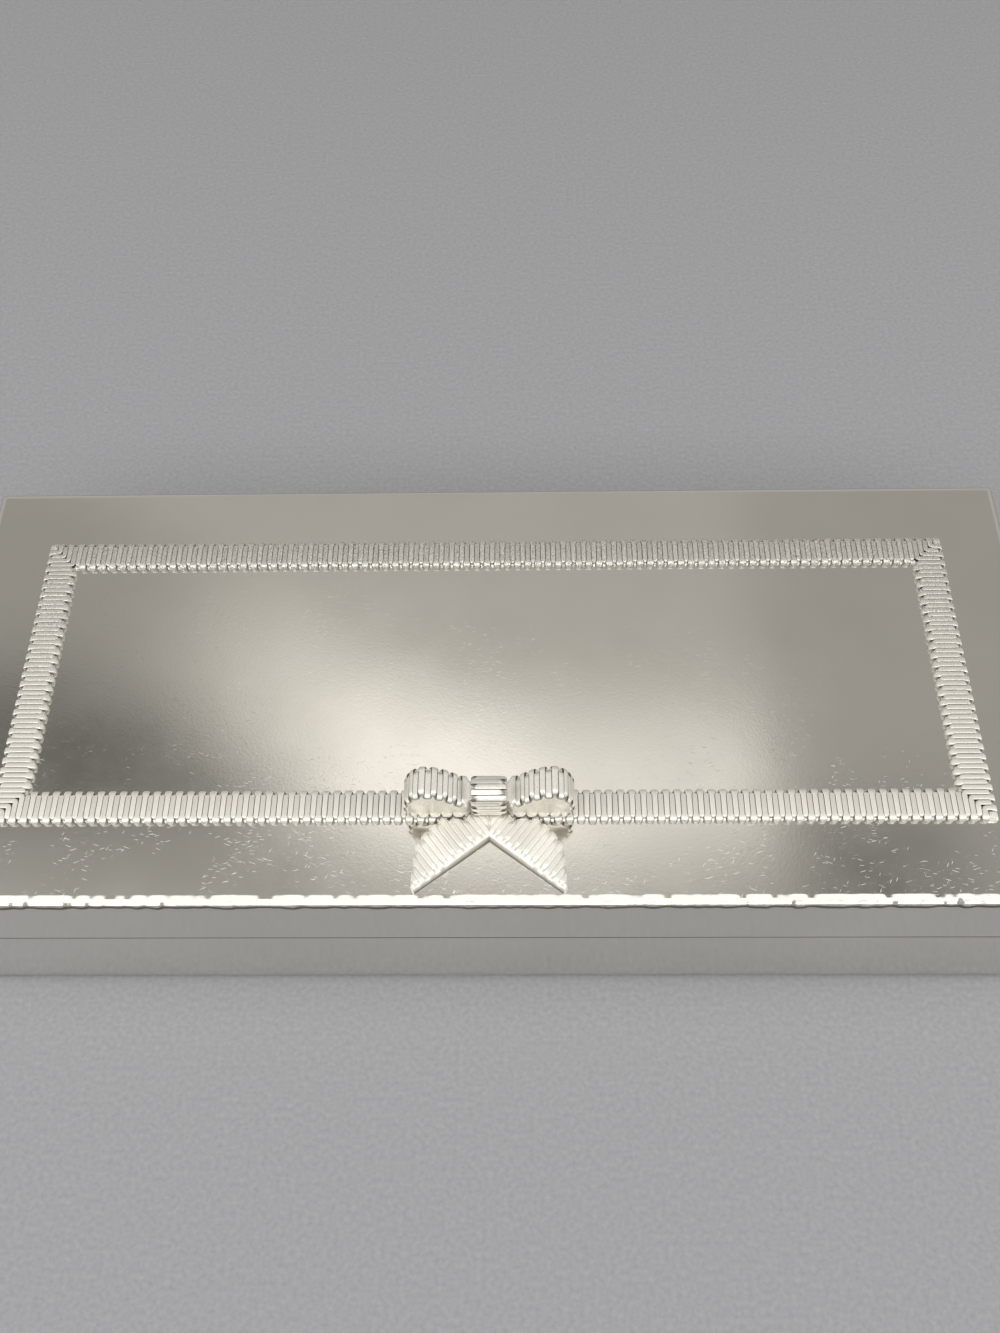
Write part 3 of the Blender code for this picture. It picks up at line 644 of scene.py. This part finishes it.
def border_corners():
    """At each corner four ribs turn on the mitre, one more of each side ends past them, and a bead
    of three steps fills the tip."""
    bm = bmesh.new()
    for sx in (1, -1):
        for sy in (1, -1):

            def place(u, v):
                return (
                    sx * (BORDER_HALF_X - u * RIB_PITCH),
                    BORDER_MIDDLE_Y + sy * (BORDER_HALF_Y - v * RIB_PITCH),
                )

            for k in range(4):
                d = CORNER_RIB + 0.5 * k
                reach, end = (RIB_SETBACK / RIB_PITCH, CLOSED_END) if k % 2 else (0.0, FREE_END)
                turn = d - 0.3 * CORNER_BEND
                straight = d - CORNER_BEND
                line = [(d, reach), (d, straight), (turn, turn), (straight, d), (reach, d)]
                ridge(bm, [place(u, v) for u, v in line], end, end)
            d = CORNER_RIB + 2.0
            inside = (RIBBON_WIDTH - RIB_SETBACK) / RIB_PITCH
            ridge(bm, [place(d, 0.0), place(d, inside)], FREE_END, CLOSED_END)
            ridge(bm, [place(0.0, d), place(inside, d)], FREE_END, CLOSED_END)
            for half, foot, top in ((0.5, 0.0, 0.9), (0.36, 0.9, 1.25), (0.2, 1.0, 1.5)):
                rings = []
                for step in range(5):
                    angle = math.radians(90) * step / 5
                    size = RIB_PITCH * half * (0.75 + 0.25 * math.cos(angle))
                    z = LID_TOP + (foot + (top - foot) * math.sin(angle)) * MM
                    middle = place(CORNER_BEAD, CORNER_BEAD)
                    rings.append(rounded_outline(size, size, size * 0.55, z, 3, middle))
                loft(bm, rings)
    corners = even_flats(new_object("border_corners", bm, CAST_SILVER, sharp_degrees=60))
    finish_piece(corners, "lid", "ribbon_border")


def border_backing():
    """The thin web behind the ribs that holds them together."""
    inset = 0.34 * RIB_PITCH
    height = 0.6 * MM
    edge = 0.3 * MM
    rings = []
    for half_in, z in (
        (inset, 0.0),
        (inset, height * 0.6),
        (inset + edge, height),
        (RIBBON_WIDTH - inset - edge, height),
        (RIBBON_WIDTH - inset, height * 0.6),
        (RIBBON_WIDTH - inset, 0.0),
    ):
        half_x, half_y = BORDER_HALF_X - half_in, BORDER_HALF_Y - half_in
        rings.append(rounded_outline(half_x, half_y, 0.5 * MM, LID_TOP + z, 3, (0.0, BORDER_MIDDLE_Y)))
    web = lofted("border_web", rings, CAST_SILVER, closed=True)
    finish_piece(web, "lid", "ribbon_border")


border_ribs()
border_corners()
border_backing()


# ---- bow ----

# Stations from the middle of one rib to the next, closer together at the groove between them.
RIB_LINES = (0.0, 0.2, 0.34, 0.42, 0.47, 0.5, 0.53, 0.58, 0.66, 0.8)
ACROSS = 22  # points across a ribbed face
UNDERSIDE = 8  # and back across its underside
FINE = 40  # points of a ribbon's line from one rib to the next, and from anchor to anchor


def curve_points(anchors, count, closed):
    """Points evenly spaced along a smooth curve through the anchors, with their directions."""
    total = len(anchors)
    fine = []
    for span in range(total if closed else total - 1):
        four = range(span - 1, span + 3)
        at = [k % total if closed else min(max(k, 0), total - 1) for k in four]
        a, b, c, d = (Vector(anchors[k]) for k in at)
        square = 2 * a - 5 * b + 4 * c - d
        cube = 3 * b - a - 3 * c + d
        for step in range(FINE):
            t = step / FINE
            fine.append(0.5 * (2 * b + (c - a) * t + square * t**2 + cube * t**3))
    fine.append(Vector(anchors[0 if closed else -1]))
    lengths = [0.0]
    for a, b in zip(fine, fine[1:]):
        lengths.append(lengths[-1] + (b - a).length)
    result = []
    at = 0
    pieces = count if closed else count - 1
    for i in range(count):
        want = lengths[-1] * i / pieces
        while at < len(fine) - 2 and lengths[at + 1] < want:
            at += 1
        share = (want - lengths[at]) / max(lengths[at + 1] - lengths[at], 1e-12)
        a, b = fine[at], fine[at + 1]
        result.append((a.lerp(b, share), (b - a).normalized()))
    return result, lengths[-1]


def rib_crown(off, inside, free):
    """A rib's height from 0 to 1, off its middle and inside its end, both in half pitches."""
    inside = max(inside, 0.0)
    foot = 2 * RIB_FOOT
    full_foot, full_height = (0.36, 0.84) if free else (0.6, 0.5)
    if free:
        foot += 2 * (RIB_FLARE - RIB_FOOT) * (1 - smooth((inside - full_height) / 0.56))
    foot *= math.sqrt(1 - (1 - min(inside / full_foot, 1.0)) ** 2)
    rise = 1 - (1 - min(inside / full_height, 1.0)) ** 2.6
    if off >= foot:
        return 0.0
    out = off / foot
    for (far, low, _), (near, high, _) in zip(RIB_SECTION, RIB_SECTION[1:]):
        if out >= near:
            return rise * (low + (high - low) * (far - out) / (far - near))
    return rise


def ribbed_ribbon(
    name, node, ribs, stations, closed, edges, place, relief, web, step, oxidised=1.0, foot=0.0
):
    """A ribbon cast with ribs across it. edges(s) gives its two edges at a distance s along it;
    place(s, t, height) gives a point; relief(s) says how far its ribs stand out there, from 0
    to 1; web is the share of its thickness that is left under the grooves; oxidised says how dark
    its grooves are; foot is how far its straight underside stands out past its low edge."""
    rows = []
    oxide_and_shade = []
    for station in stations:
        s = station * step
        limit_low, limit_high = edges(s)
        short = min(RIB_SETBACK, (limit_high - limit_low) * 0.16)  # less where it narrows
        nearest = math.floor(station)
        near = []
        for k in range(nearest - 1, nearest + 3):
            if abs(station - k) < 1:
                near.append((abs(station - k), (k % ribs if ribs else k) % 2 == 0))
        reach_low = min((off for off, even in near if even), default=1.0)
        reach_high = min((off for off, even in near if not even), default=1.0)
        strength = relief(s)
        groove = min(off for off, _ in near)
        line = smooth((groove - 0.4) / 0.09)
        low = limit_low + short * reach_low**4 * strength
        high = limit_high - short * reach_high**4 * strength
        row = []
        for i in range(ACROSS):
            t = low + (high - low) * (0.5 - 0.5 * math.cos(math.pi * i / (ACROSS - 1)))
            crown = 0.0
            for off, even in near:
                from_low = (t - limit_low - (0.0 if even else short)) / step
                from_high = (limit_high - t - (short if even else 0.0)) / step
                ends = rib_crown(off, from_low, even), rib_crown(off, from_high, not even)
                crown = max(crown, min(ends))
            plain = min(1.0, 0.4 + min(t - low, high - t) / (0.5 * MM))
            rim = smooth((0.36 - crown) / 0.3)
            crown = plain + (crown - plain) * strength
            row.append(place(s, t, BOW_THICKNESS * (web + (1 - web) * crown - 0.5)))
            oxide_and_shade.append(max(line, 0.6 * rim) * strength * oxidised)
        last = UNDERSIDE - 1
        for i in range(UNDERSIDE):
            share = 0.5 + 0.5 * math.cos(math.pi * i / last)
            t = low + (high - low) * share
            if foot:
                t = limit_low - foot + (limit_high - limit_low + foot) * share
            # Painted shadow: the foot's lowest edge, where it meets the lid, is dark; the rest of the
            # underside keeps a little oxide.
            oxide_and_shade.append(0.8 if foot and i == last else 0.1 * oxidised)
            depth = 0.16 * (1 - web) * strength * max(1 - 2 * groove, 0.0) * (0 < i < last)
            row.append(place(s, t, -BOW_THICKNESS * (0.5 + depth)))
        if foot:
            oxide_and_shade.append(0.0)
            row.append(place(s, limit_low - 0.6 * foot, BOW_THICKNESS * (0.6 * web - 0.5)))
        rows.append(row)
    bm = bmesh.new()
    oxide = oxide_layer(bm)
    loft(bm, rows, closed)
    for vertex, dark in zip(bm.verts, oxide_and_shade):
        vertex[oxide] = dark
    piece = new_object(name, bm, CAST_SILVER, sharp_degrees=50)
    finish_piece(piece, "lid", node)


def loop_half_width(x):
    """Half a loop's width at a distance x from the bow's middle: narrow inside the knot."""
    return (WAIST_WIDTH + (LOOP_WIDTH - WAIST_WIDTH) * smooth((x - KNOT_X[1]) / (1.3 * MM))) / 2


def bow_loop(name, side, node):
    """A closed ribbon, seen from its side as a loop that rises from the knot and drops outside."""
    reach = LOOP_X[1] - BOW_THICKNESS / 2
    low = LOOP_Z[0] - LID_TOP + BOW_THICKNESS / 2
    high = LOOP_Z[1] - LID_TOP - BOW_THICKNESS / 2
    waist = WAIST_HEIGHT - BOW_THICKNESS / 2
    start = SEAT / 2 + BOW_THICKNESS / 2
    anchors = [
        (start, (waist + low) / 2),
        (start + 1.6 * MM, waist),
        (reach * 0.29, waist + 0.3 * MM),
        (reach * 0.38, waist + (high - waist) * 0.26),
        (reach * 0.51, waist + (high - waist) * 0.66),
        (reach * 0.65, waist + (high - waist) * 0.93),
        (reach * 0.79, high),
        (reach * 0.89, high - 1.1 * MM),
        (reach * 0.96, high - 3.2 * MM),
        (reach, (high + low) / 2 - 1.2 * MM),
        (reach * 0.955, low + 1.1 * MM),
        (reach * 0.85, low + 0.1 * MM),
        (reach * 0.60, low),
        (reach * 0.35, low),
        (start + 1.6 * MM, low),
    ]
    length = curve_points(anchors, 8, True)[1]
    ribs = 2 * round(length / BOW_PITCH)
    path = curve_points(anchors, FINE * ribs, True)[0]
    step = length / ribs

    def at(s):
        return path[round(s / step * FINE) % len(path)]

    def edges(s):
        half = loop_half_width(at(s)[0].x)
        return -half, half

    def place(s, t, height):
        point, along = at(s)
        return (side * (point.x - along.y * height), BOW_Y + t, LID_TOP + point.y + along.x * height)

    def relief(s):
        return smooth((at(s)[0].x - KNOT_X[1] - 0.6 * MM) / (1.6 * MM))

    stations = [k + line for k in range(ribs) for line in RIB_LINES]
    ribbed_ribbon(name, node, ribs, stations, True, edges, place, relief, web=0.45, step=step)

    # The casting is closed inside the loop: its front leans back, with the ribs' marks in it. A
    # share below 0 is on its back.
    points_round = 120
    bm = bmesh.new()
    oxide_layer(bm)
    middle = Vector((reach * 0.62, (low + high) / 2))
    rings = []
    for share in (0.02, 0.15, 0.28, 0.41, 0.54, 0.67, 0.8, 0.9, 1.0, -1.0, -0.02):
        ring = []
        for point, _ in path[:: FINE * ribs // points_round]:
            x, z = middle + (point - middle) * abs(share)
            y = loop_half_width(x) - 0.6 * MM
            if share > 0:
                mark = max(0.0, math.cos(math.tau * x / BOW_PITCH)) ** 2
                y = (2.4 * (z - low) / (high - low) + 0.2 * mark) * MM - y
            ring.append((side * x, BOW_Y + y, LID_TOP + z))
        rings.append(ring)
    loft(bm, rings)
    filling = new_object(name + "_filling", bm, CAST_SILVER, sharp_degrees=50)
    finish_piece(filling, "lid", node)


def bow_knot():
    """The band over the middle of the bow, its ribs across it."""
    half = (KNOT_Y[1] - KNOT_Y[0]) / 2 - BOW_THICKNESS / 2
    foot = KNOT_Z[0] - LID_TOP
    top = KNOT_Z[1] - LID_TOP - BOW_THICKNESS / 2
    middle = (KNOT_Y[0] + KNOT_Y[1]) / 2
    anchors = [
        (half, foot),
        (half, (foot + top) / 2),
        (half * 0.78, top - 0.9 * MM),
        (0.0, top),
        (-half * 0.78, top - 0.9 * MM),
        (-half, (foot + top) / 2),
        (-half, foot),
    ]
    length = curve_points(anchors, 8, False)[1]
    ribs = 2 * round(length / BOW_PITCH)
    path = curve_points(anchors, FINE * ribs + 1, False)[0]
    step = length / ribs

    def place(s, t, height):
        point, along = path[round(s / step * FINE)]
        return (t, middle + point.x + along.y * height, LID_TOP + point.y - along.x * height)

    stations = [k + line for k in range(ribs) for line in RIB_LINES] + [ribs]
    plain = {"closed": False, "edges": lambda s: KNOT_X, "relief": lambda s: 1.0}
    ribbed_ribbon("bow_knot_band", "bow_knot", 0, stations, place=place, web=0.45, step=step, **plain)


def bow_tail(name, side, node):
    """A ribbon from under the knot over the border and down to the lid, its end cut at a slant."""
    cos, sin = math.cos(TAIL_ANGLE), math.sin(TAIL_ANGLE)
    over_border = BORDER_TOP + SEAT
    on_lid = LID_TOP + SEAT + TAIL_TIP_LIFT
    widest = RIBBON_WIDTH + TAIL_SHOULDER
    drop_from = (widest * cos + RIBBON_WIDTH / 2 - TAIL_CROTCH) / sin + 0.8 * MM
    drop_to = TAIL_LENGTH * 0.72
    step = RIB_PITCH / 2
    loops_front = BOW_Y - STRIP_Y

    def edges(s):
        """From its inner edge, or the bow's middle, to its shoulder, cut end or the loop above."""
        inner = max(0.25 * MM, (0.03 * MM - s * cos) / sin)
        outer = RIBBON_WIDTH + TAIL_SHOULDER * smooth((TAIL_LENGTH - TAIL_CUT - s) / (4.8 * MM))
        outer = min(outer, RIBBON_WIDTH * (TAIL_LENGTH - s) / TAIL_CUT)
        while outer > 0:
            x = s * cos + outer * sin
            y = outer * cos - s * sin - TAIL_CROTCH
            if y <= loops_front - loop_half_width(x) - SEAT:
                break
            outer -= 0.04 * MM
        return inner, outer

    def place(s, t, height):
        under = over_border + (on_lid - over_border) * smooth((s - drop_from) / (drop_to - drop_from))
        x = s * cos + t * sin
        y = STRIP_Y - TAIL_CROTCH - s * sin + t * cos
        z = under + BOW_THICKNESS / 2 + height
        if height < -0.4 * BOW_THICKNESS:
            # Its edges reach down to the lid, and in front of it to the border.
            ground = LID_TOP + 0.1 * MM
            z = min(z, ground + (over_border - ground) * smooth((y - BORDER_Y[0]) / (0.5 * MM) + 1.2))
        return (side * x, y, z)

    stations = []
    for k in range(-5, math.ceil(TAIL_LENGTH / step)):
        for line in RIB_LINES:
            s = (k + line) * step
            inner, outer = edges(s)
            if s <= TAIL_LENGTH - 0.6 * MM and outer - inner > 0.6 * MM:
                stations.append(k + line)
    thick = {"web": 0.7, "oxidised": 0.35, "foot": 0.8 * MM}
    ribbed_ribbon(name, node, 0, stations, False, edges, place, lambda s: 1.0, step=step, **thick)


bow_loop("bow_loop_right", 1, "bow_right_loop")
bow_loop("bow_loop_left", -1, "bow_left_loop")
bow_knot()
bow_tail("bow_tail_right", 1, "bow_right_tail")
bow_tail("bow_tail_left", -1, "bow_left_tail")


# ---- hinge and lining ----


def node_copy(name, node, material, round_over, steps):
    """A node's mesh with its loose triangles joined and its edges rounded over."""
    bm = bmesh.new()
    bm.from_mesh(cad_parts[node].data)
    bmesh.ops.remove_doubles(bm, verts=bm.verts, dist=0.001 * MM)
    bmesh.ops.dissolve_limit(bm, angle_limit=math.radians(1), verts=bm.verts, edges=bm.edges)
    piece = new_object(name, bm, material)
    corner = {"limit_method": "ANGLE", "angle_limit": math.radians(40), "use_clamp_overlap": True}
    return modify(piece, "rounded edges", "BEVEL", width=round_over, segments=steps, **corner)


def hinge():
    for name, node, body in (
        ("hinge_leaf_base", "hinge_base_leaf", "base"),
        ("hinge_leaf_lid", "hinge_lid_leaf", "lid"),
    ):
        piece = node_copy(name, node, HINGE_STEEL, round_over=0.1 * MM, steps=2)
        finish_piece(even_flats(piece), body, node)
    (x0, x1), (y0, y1), _ = node_box("hinge_pin")
    radius = (y1 - y0) / 2
    taper = 0.3 * MM
    rings = []
    for x, share in ((x0, 0.7), (x0 + taper, 1.0), (x1 - taper, 1.0), (x1, 0.7)):
        ring = []
        for i in range(32):
            angle = math.tau * i / 32
            across, up = radius * share * math.cos(angle), radius * share * math.sin(angle)
            ring.append((x, HINGE_Y + across, HINGE_Z + up))
        rings.append(ring)
    finish_piece(lofted("hinge_wire", rings, HINGE_STEEL), "base", "hinge_pin")


def lining():
    """Boards covered with velvet: their edges are as round as the folded cloth over them."""
    for wall in ("front", "back", "left", "right"):
        for body in ("base", "lid"):
            node = f"{body}_{wall}_lining"
            piece = node_copy(f"{body}_{wall}_velvet", node, VELVET, round_over=0.45 * MM, steps=3)
            finish_piece(even_flats(piece), body, node)
    for node in ("ring_divider", "long_divider", "cross_divider"):
        piece = node_copy(f"{node}_velvet", node, VELVET, round_over=1.2 * MM, steps=5)
        finish_piece(even_flats(piece), "base", node)


hinge()
lining()


# ---- padded pieces and felt ----


def stuffed_form(name, low, high, round_over):
    """A closed form with round edges for a stuffed piece."""
    bm = bmesh.new()
    bmesh.ops.create_cube(bm, size=1.0)
    for vertex in bm.verts:
        for i in range(3):
            vertex.co[i] = low[i] + (high[i] - low[i]) * (vertex.co[i] + 0.5)
    edges = {"geom": bm.edges, "affect": "EDGES", "clamp_overlap": True}
    bmesh.ops.bevel(bm, offset=round_over, segments=4, profile=0.6, **edges)
    return new_object(name, bm, VELVET)


def plump(piece, grid, pressure, most, low, high):
    """Swells a stuffed piece by cloth simulation. No point moves further than the most, and the
    piece just fills the room between low and high that its neighbours leave it."""
    modify(piece, "even grid", "REMESH", mode="VOXEL", voxel_size=grid)
    start = [vertex.co.copy() for vertex in piece.data.vertices]
    cloth = piece.modifiers.new("velvet over foam", "CLOTH")
    for name, value in (
        ("quality", 6),
        ("mass", 0.1),
        ("tension_stiffness", 12),
        ("compression_stiffness", 12),
        ("shear_stiffness", 6),
        ("bending_stiffness", 0.8),
        ("use_pressure", True),
        ("uniform_pressure_force", pressure),
    ):
        setattr(cloth.settings, name, value)
    cloth.settings.effector_weights.gravity = 0
    last_frame = 20
    cloth.point_cache.frame_start = 1
    cloth.point_cache.frame_end = last_frame
    for number in range(1, last_frame + 1):
        bpy.context.scene.frame_set(number)
    apply_modifiers(piece)
    bpy.context.scene.frame_set(1)
    for vertex, before in zip(piece.data.vertices, start):
        move = vertex.co - before
        if move.length > most:
            vertex.co = before + move.normalized() * most
    for i in (0, 1):
        least = min(vertex.co[i] for vertex in piece.data.vertices)
        across = max(vertex.co[i] for vertex in piece.data.vertices) - least
        for vertex in piece.data.vertices:
            vertex.co[i] = low[i] + (vertex.co[i] - least) / across * (high[i] - low[i])
    for vertex in piece.data.vertices:
        vertex.co.z = min(max(vertex.co.z, low[2]), high[2])
    modify(piece, "smoother", "SUBSURF", levels=1, render_levels=1)
    piece.data.shade_smooth()
    piece.data.materials.clear()
    piece.data.materials.append(VELVET)


def ring_rolls():
    """Six stuffed rolls side by side. The first is simulated, the others are its copies."""
    low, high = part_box("ring_roll_1")
    unstuffed = 0.5 * MM
    piece = stuffed_form(
        "ring_roll_velvet_1",
        [v + unstuffed for v in low],
        [v - unstuffed for v in high],
        round_over=5.0 * MM,
    )
    room = 0.12 * MM
    inner = {"low": [v + room for v in low], "high": [v - room for v in high]}
    plump(piece, grid=1.6 * MM, pressure=4.0, most=1.2 * MM, **inner)
    for number in range(2, 7):
        node = f"ring_roll_{number}"
        other = bpy.data.objects.new(f"ring_roll_velvet_{number}", piece.data.copy())
        bpy.context.scene.collection.objects.link(other)
        other.data.transform(Matrix.Translation((0.0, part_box(node)[0][1] - low[1], 0.0)))
        finish_piece(other, "base", node)
    finish_piece(piece, "base", "ring_roll_1")


def lid_pad():
    """A crowned pad of foam under velvet, against the inside of the lid."""
    low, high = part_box("lid_pad")
    room, unstuffed = 0.1 * MM, 0.4 * MM
    piece = stuffed_form(
        "lid_pad_velvet",
        (low[0] + unstuffed, low[1] + unstuffed, high[2] - 1.9 * MM),
        (high[0] - unstuffed, high[1] - unstuffed, high[2] - room),
        round_over=0.8 * MM,
    )
    inner = {"low": (low[0] + room, low[1] + room, low[2]), "high": [v - room for v in high]}
    plump(piece, grid=1.7 * MM, pressure=3.0, most=2.2 * MM, **inner)
    finish_piece(piece, "lid", "lid_pad")


def floor_pad():
    """Velvet over thin foam on the base's floor, flat under the dividers, with rolled edges."""
    low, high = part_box("floor_pad")
    piece = stuffed_form("floor_pad_velvet", low, high, round_over=0.9 * MM)
    even_flats(piece)
    finish_piece(piece, "base", "floor_pad")


def base_felt():
    """One sheet of felt glued under the base, its cut edges a little round."""
    low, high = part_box("base_felt")
    half_x, half_y = high[0], high[1]
    thickness = high[2] - low[2]
    edge = 0.25 * MM
    rings = [
        rounded_outline(half_x - inset, half_y - inset, 2.0 * MM, low[2] + z, 6)
        for inset, z in ((edge, 0.0), (0.0, edge), (0.0, thickness - edge), (edge, thickness))
    ]
    piece = lofted("felt_sheet", rings, FELT)
    finish_piece(piece, "base", "base_felt")


ring_rolls()
lid_pad()
floor_pad()
base_felt()


# ---- stage, camera and light ----


def stage_floor():
    reach = 4.0
    corners = ((-reach, -reach), (reach, -reach), (reach, reach), (-reach, reach))
    bm = bmesh.new()
    bm.faces.new([bm.verts.new((x, y, 0.0)) for x, y in corners])
    made, tree, shader, place = begin_material(
        "matt_studio_paper", "#acacae", {"Roughness": 0.9, "Specular IOR Level": 0.2}
    )
    # The paper's tooth is 0.3 mm; it is drawn 1.2 mm, so that it shows.
    tooth = add_node(
        tree, "ShaderNodeTexNoise", {"Vector": place, "Scale": 1 / (1.2 * MM), "Detail": 2.0}
    ).outputs["Fac"]
    show_pattern(tree, shader, tooth, colours=("#8c8c8f", "#a8a8ab"))
    new_object("floor", bm, made)


def camera():
    """The photograph's view: its lens, and where it stood over the box's front."""
    pitch, yaw, roll = 1.03621, 0.03956, -0.03976
    turn = Matrix.Rotation(yaw, 3, "Z")
    ahead = turn @ Vector((0.0, math.cos(pitch), -math.sin(pitch)))
    right = turn @ Vector((1.0, 0.0, 0.0))
    up = right.cross(ahead)
    across = math.cos(roll) * right + math.sin(roll) * up
    above = math.cos(roll) * up - math.sin(roll) * right
    data = bpy.data.cameras.new("camera")
    data.lens = 34.24
    data.sensor_width = 36.0
    data.clip_start = 0.01
    made = bpy.data.objects.new("camera", data)
    rotation = Matrix((across, above, -ahead)).transposed()
    stand = (8.24 * MM, BORDER_MIDDLE_Y - 152.93 * MM, LID_TOP + 262.1 * MM)
    made.matrix_world = Matrix.Translation(stand) @ rotation.to_4x4()
    bpy.context.scene.collection.objects.link(made)
    bpy.context.scene.camera = made


def softbox(name, place, size, along, radiance):
    """A rectangular studio light that faces the box with this brightness. The first of its two
    sizes runs along the given axis."""
    data = bpy.data.lights.new(name, "AREA")
    data.shape = "RECTANGLE"
    data.size, data.size_y = size
    data.energy = radiance * math.pi * size[0] * size[1]
    made = bpy.data.objects.new(name, data)
    away = (Vector(place) - Vector((0.0, 0.0, 30 * MM))).normalized()
    first = (Vector(along) - away * away.dot(Vector(along))).normalized()
    turn = Matrix((first, away.cross(first), away)).transposed()
    made.matrix_world = Matrix.Translation(place) @ turn.to_4x4()
    made.visible_camera = False
    bpy.context.scene.collection.objects.link(made)


def light_tent():
    """The white tent round the box. Its roof behind the box, which the lid reflects, is in
    half shade, with one soft slanting opening in it."""
    world = bpy.data.worlds.new("light tent")
    bpy.context.scene.world = world
    world.use_nodes = True
    tree = world.node_tree
    axes = add_node(
        tree, "ShaderNodeSeparateXYZ", (add_node(tree, "ShaderNodeTexCoord").outputs["Generated"],)
    ).outputs
    height = add_node(tree, "ShaderNodeMath", (axes["Z"], 0.05), operation="MAXIMUM").outputs[0]
    # A place on the roof: how far right and how far back, for each metre up, and the same turned
    # along the opening and across it.
    right = add_node(tree, "ShaderNodeMath", (axes["X"], height), operation="DIVIDE").outputs[0]
    back = add_node(tree, "ShaderNodeMath", (axes["Y"], height), operation="DIVIDE").outputs[0]
    turned = []
    for by_right, by_back, start in ((0.663, 0.749, -0.2833), (0.749, -0.663, 0.6248)):
        place = start
        for value, share in ((right, by_right), (back, by_back)):
            place = add_node(
                tree, "ShaderNodeMath", (value, share, place), operation="MULTIPLY_ADD"
            ).outputs[0]
        turned.append(place)
    across, along = turned

    def patches(*table):
        """The sum of patches, each the product of its soft edges. An edge runs from a first to a
        second place, and from 0 to 1 unless it gives its own values there."""
        whole = 0.0
        for edges in table:
            patch = 1.0
            for value, start, end, *levels in edges:
                low, high = levels or (0.0, 1.0)
                edge = add_node(
                    tree,
                    "ShaderNodeMapRange",
                    (value, start, end, low, high),
                    interpolation_type="SMOOTHSTEP",
                ).outputs["Result"]
                patch = add_node(tree, "ShaderNodeMath", (patch, edge), operation="MULTIPLY").outputs[0]
            whole = add_node(tree, "ShaderNodeMath", (whole, patch), operation="ADD").outputs[0]
        return whole

    roof = patches(
        ((right, 0.19, 0.25, 0.36, 0.38),),
        # The opening, the wide glow beside it, the shade on its other side and a smudge.
        ((across, -0.115, -0.015), (across, 0.12, 0.0), (along, -0.12, 0.3), (back, 0.34, 0.47)),
        ((across, -0.02, 0.1), (right, 0.235, 0.185), (back, 0.62, 0.455, 0.1, 0.62), (back, 0.36, 0.46)),
        ((across, -0.05, -0.15), (back, 0.63, 0.52), (back, 0.43, 0.47, 0.0, -0.24)),
        ((right, 0.2, 0.27), (right, 0.42, 0.3), (back, 0.47, 0.42, 0.0, -0.22)),
    )
    inside = patches(((right, -0.9, -0.62), (right, 0.9, 0.62), (back, 0.16, 0.34), (back, 1.4, 0.95)))
    tent = patches(
        ((axes["Z"], 0.0, 1.0, 0.52, 0.42),),
        # It is darker low in front, where the camera stands.
        ((axes["Y"], -0.35, -0.75), (axes["Z"], 0.46, 0.28, 0.0, -0.4)),
    )
    mixed = add_node(
        tree, "ShaderNodeMix", {"Factor": inside, "A": tent, "B": roof}, data_type="FLOAT"
    ).outputs["Result"]
    background = tree.nodes["Background"]
    background.inputs["Color"].default_value = linear("#fffbf5")
    tree.links.new(mixed, background.inputs["Strength"])


stage_floor()
camera()
light_tent()
# Where each stands, its two sizes, the axis that the first one runs along, and its brightness.
softbox("overhead_softbox", (-0.05, -0.16, 1.3), (2.0, 1.0), (1.0, 0.0, 0.0), 0.95)
softbox("front_softbox", (-0.05, -0.95, 1.12), (1.6, 0.5), (1.0, 0.0, 0.0), 3.1)
softbox("left_softbox", (-1.2, -0.2, 0.6), (0.6, 0.7), (0.0, 1.0, 0.0), 3.4)
softbox("right_softbox", (1.2, -0.2, 0.6), (0.6, 0.7), (0.0, 1.0, 0.0), 3.4)
bpy.context.scene.view_settings.view_transform = "Standard"
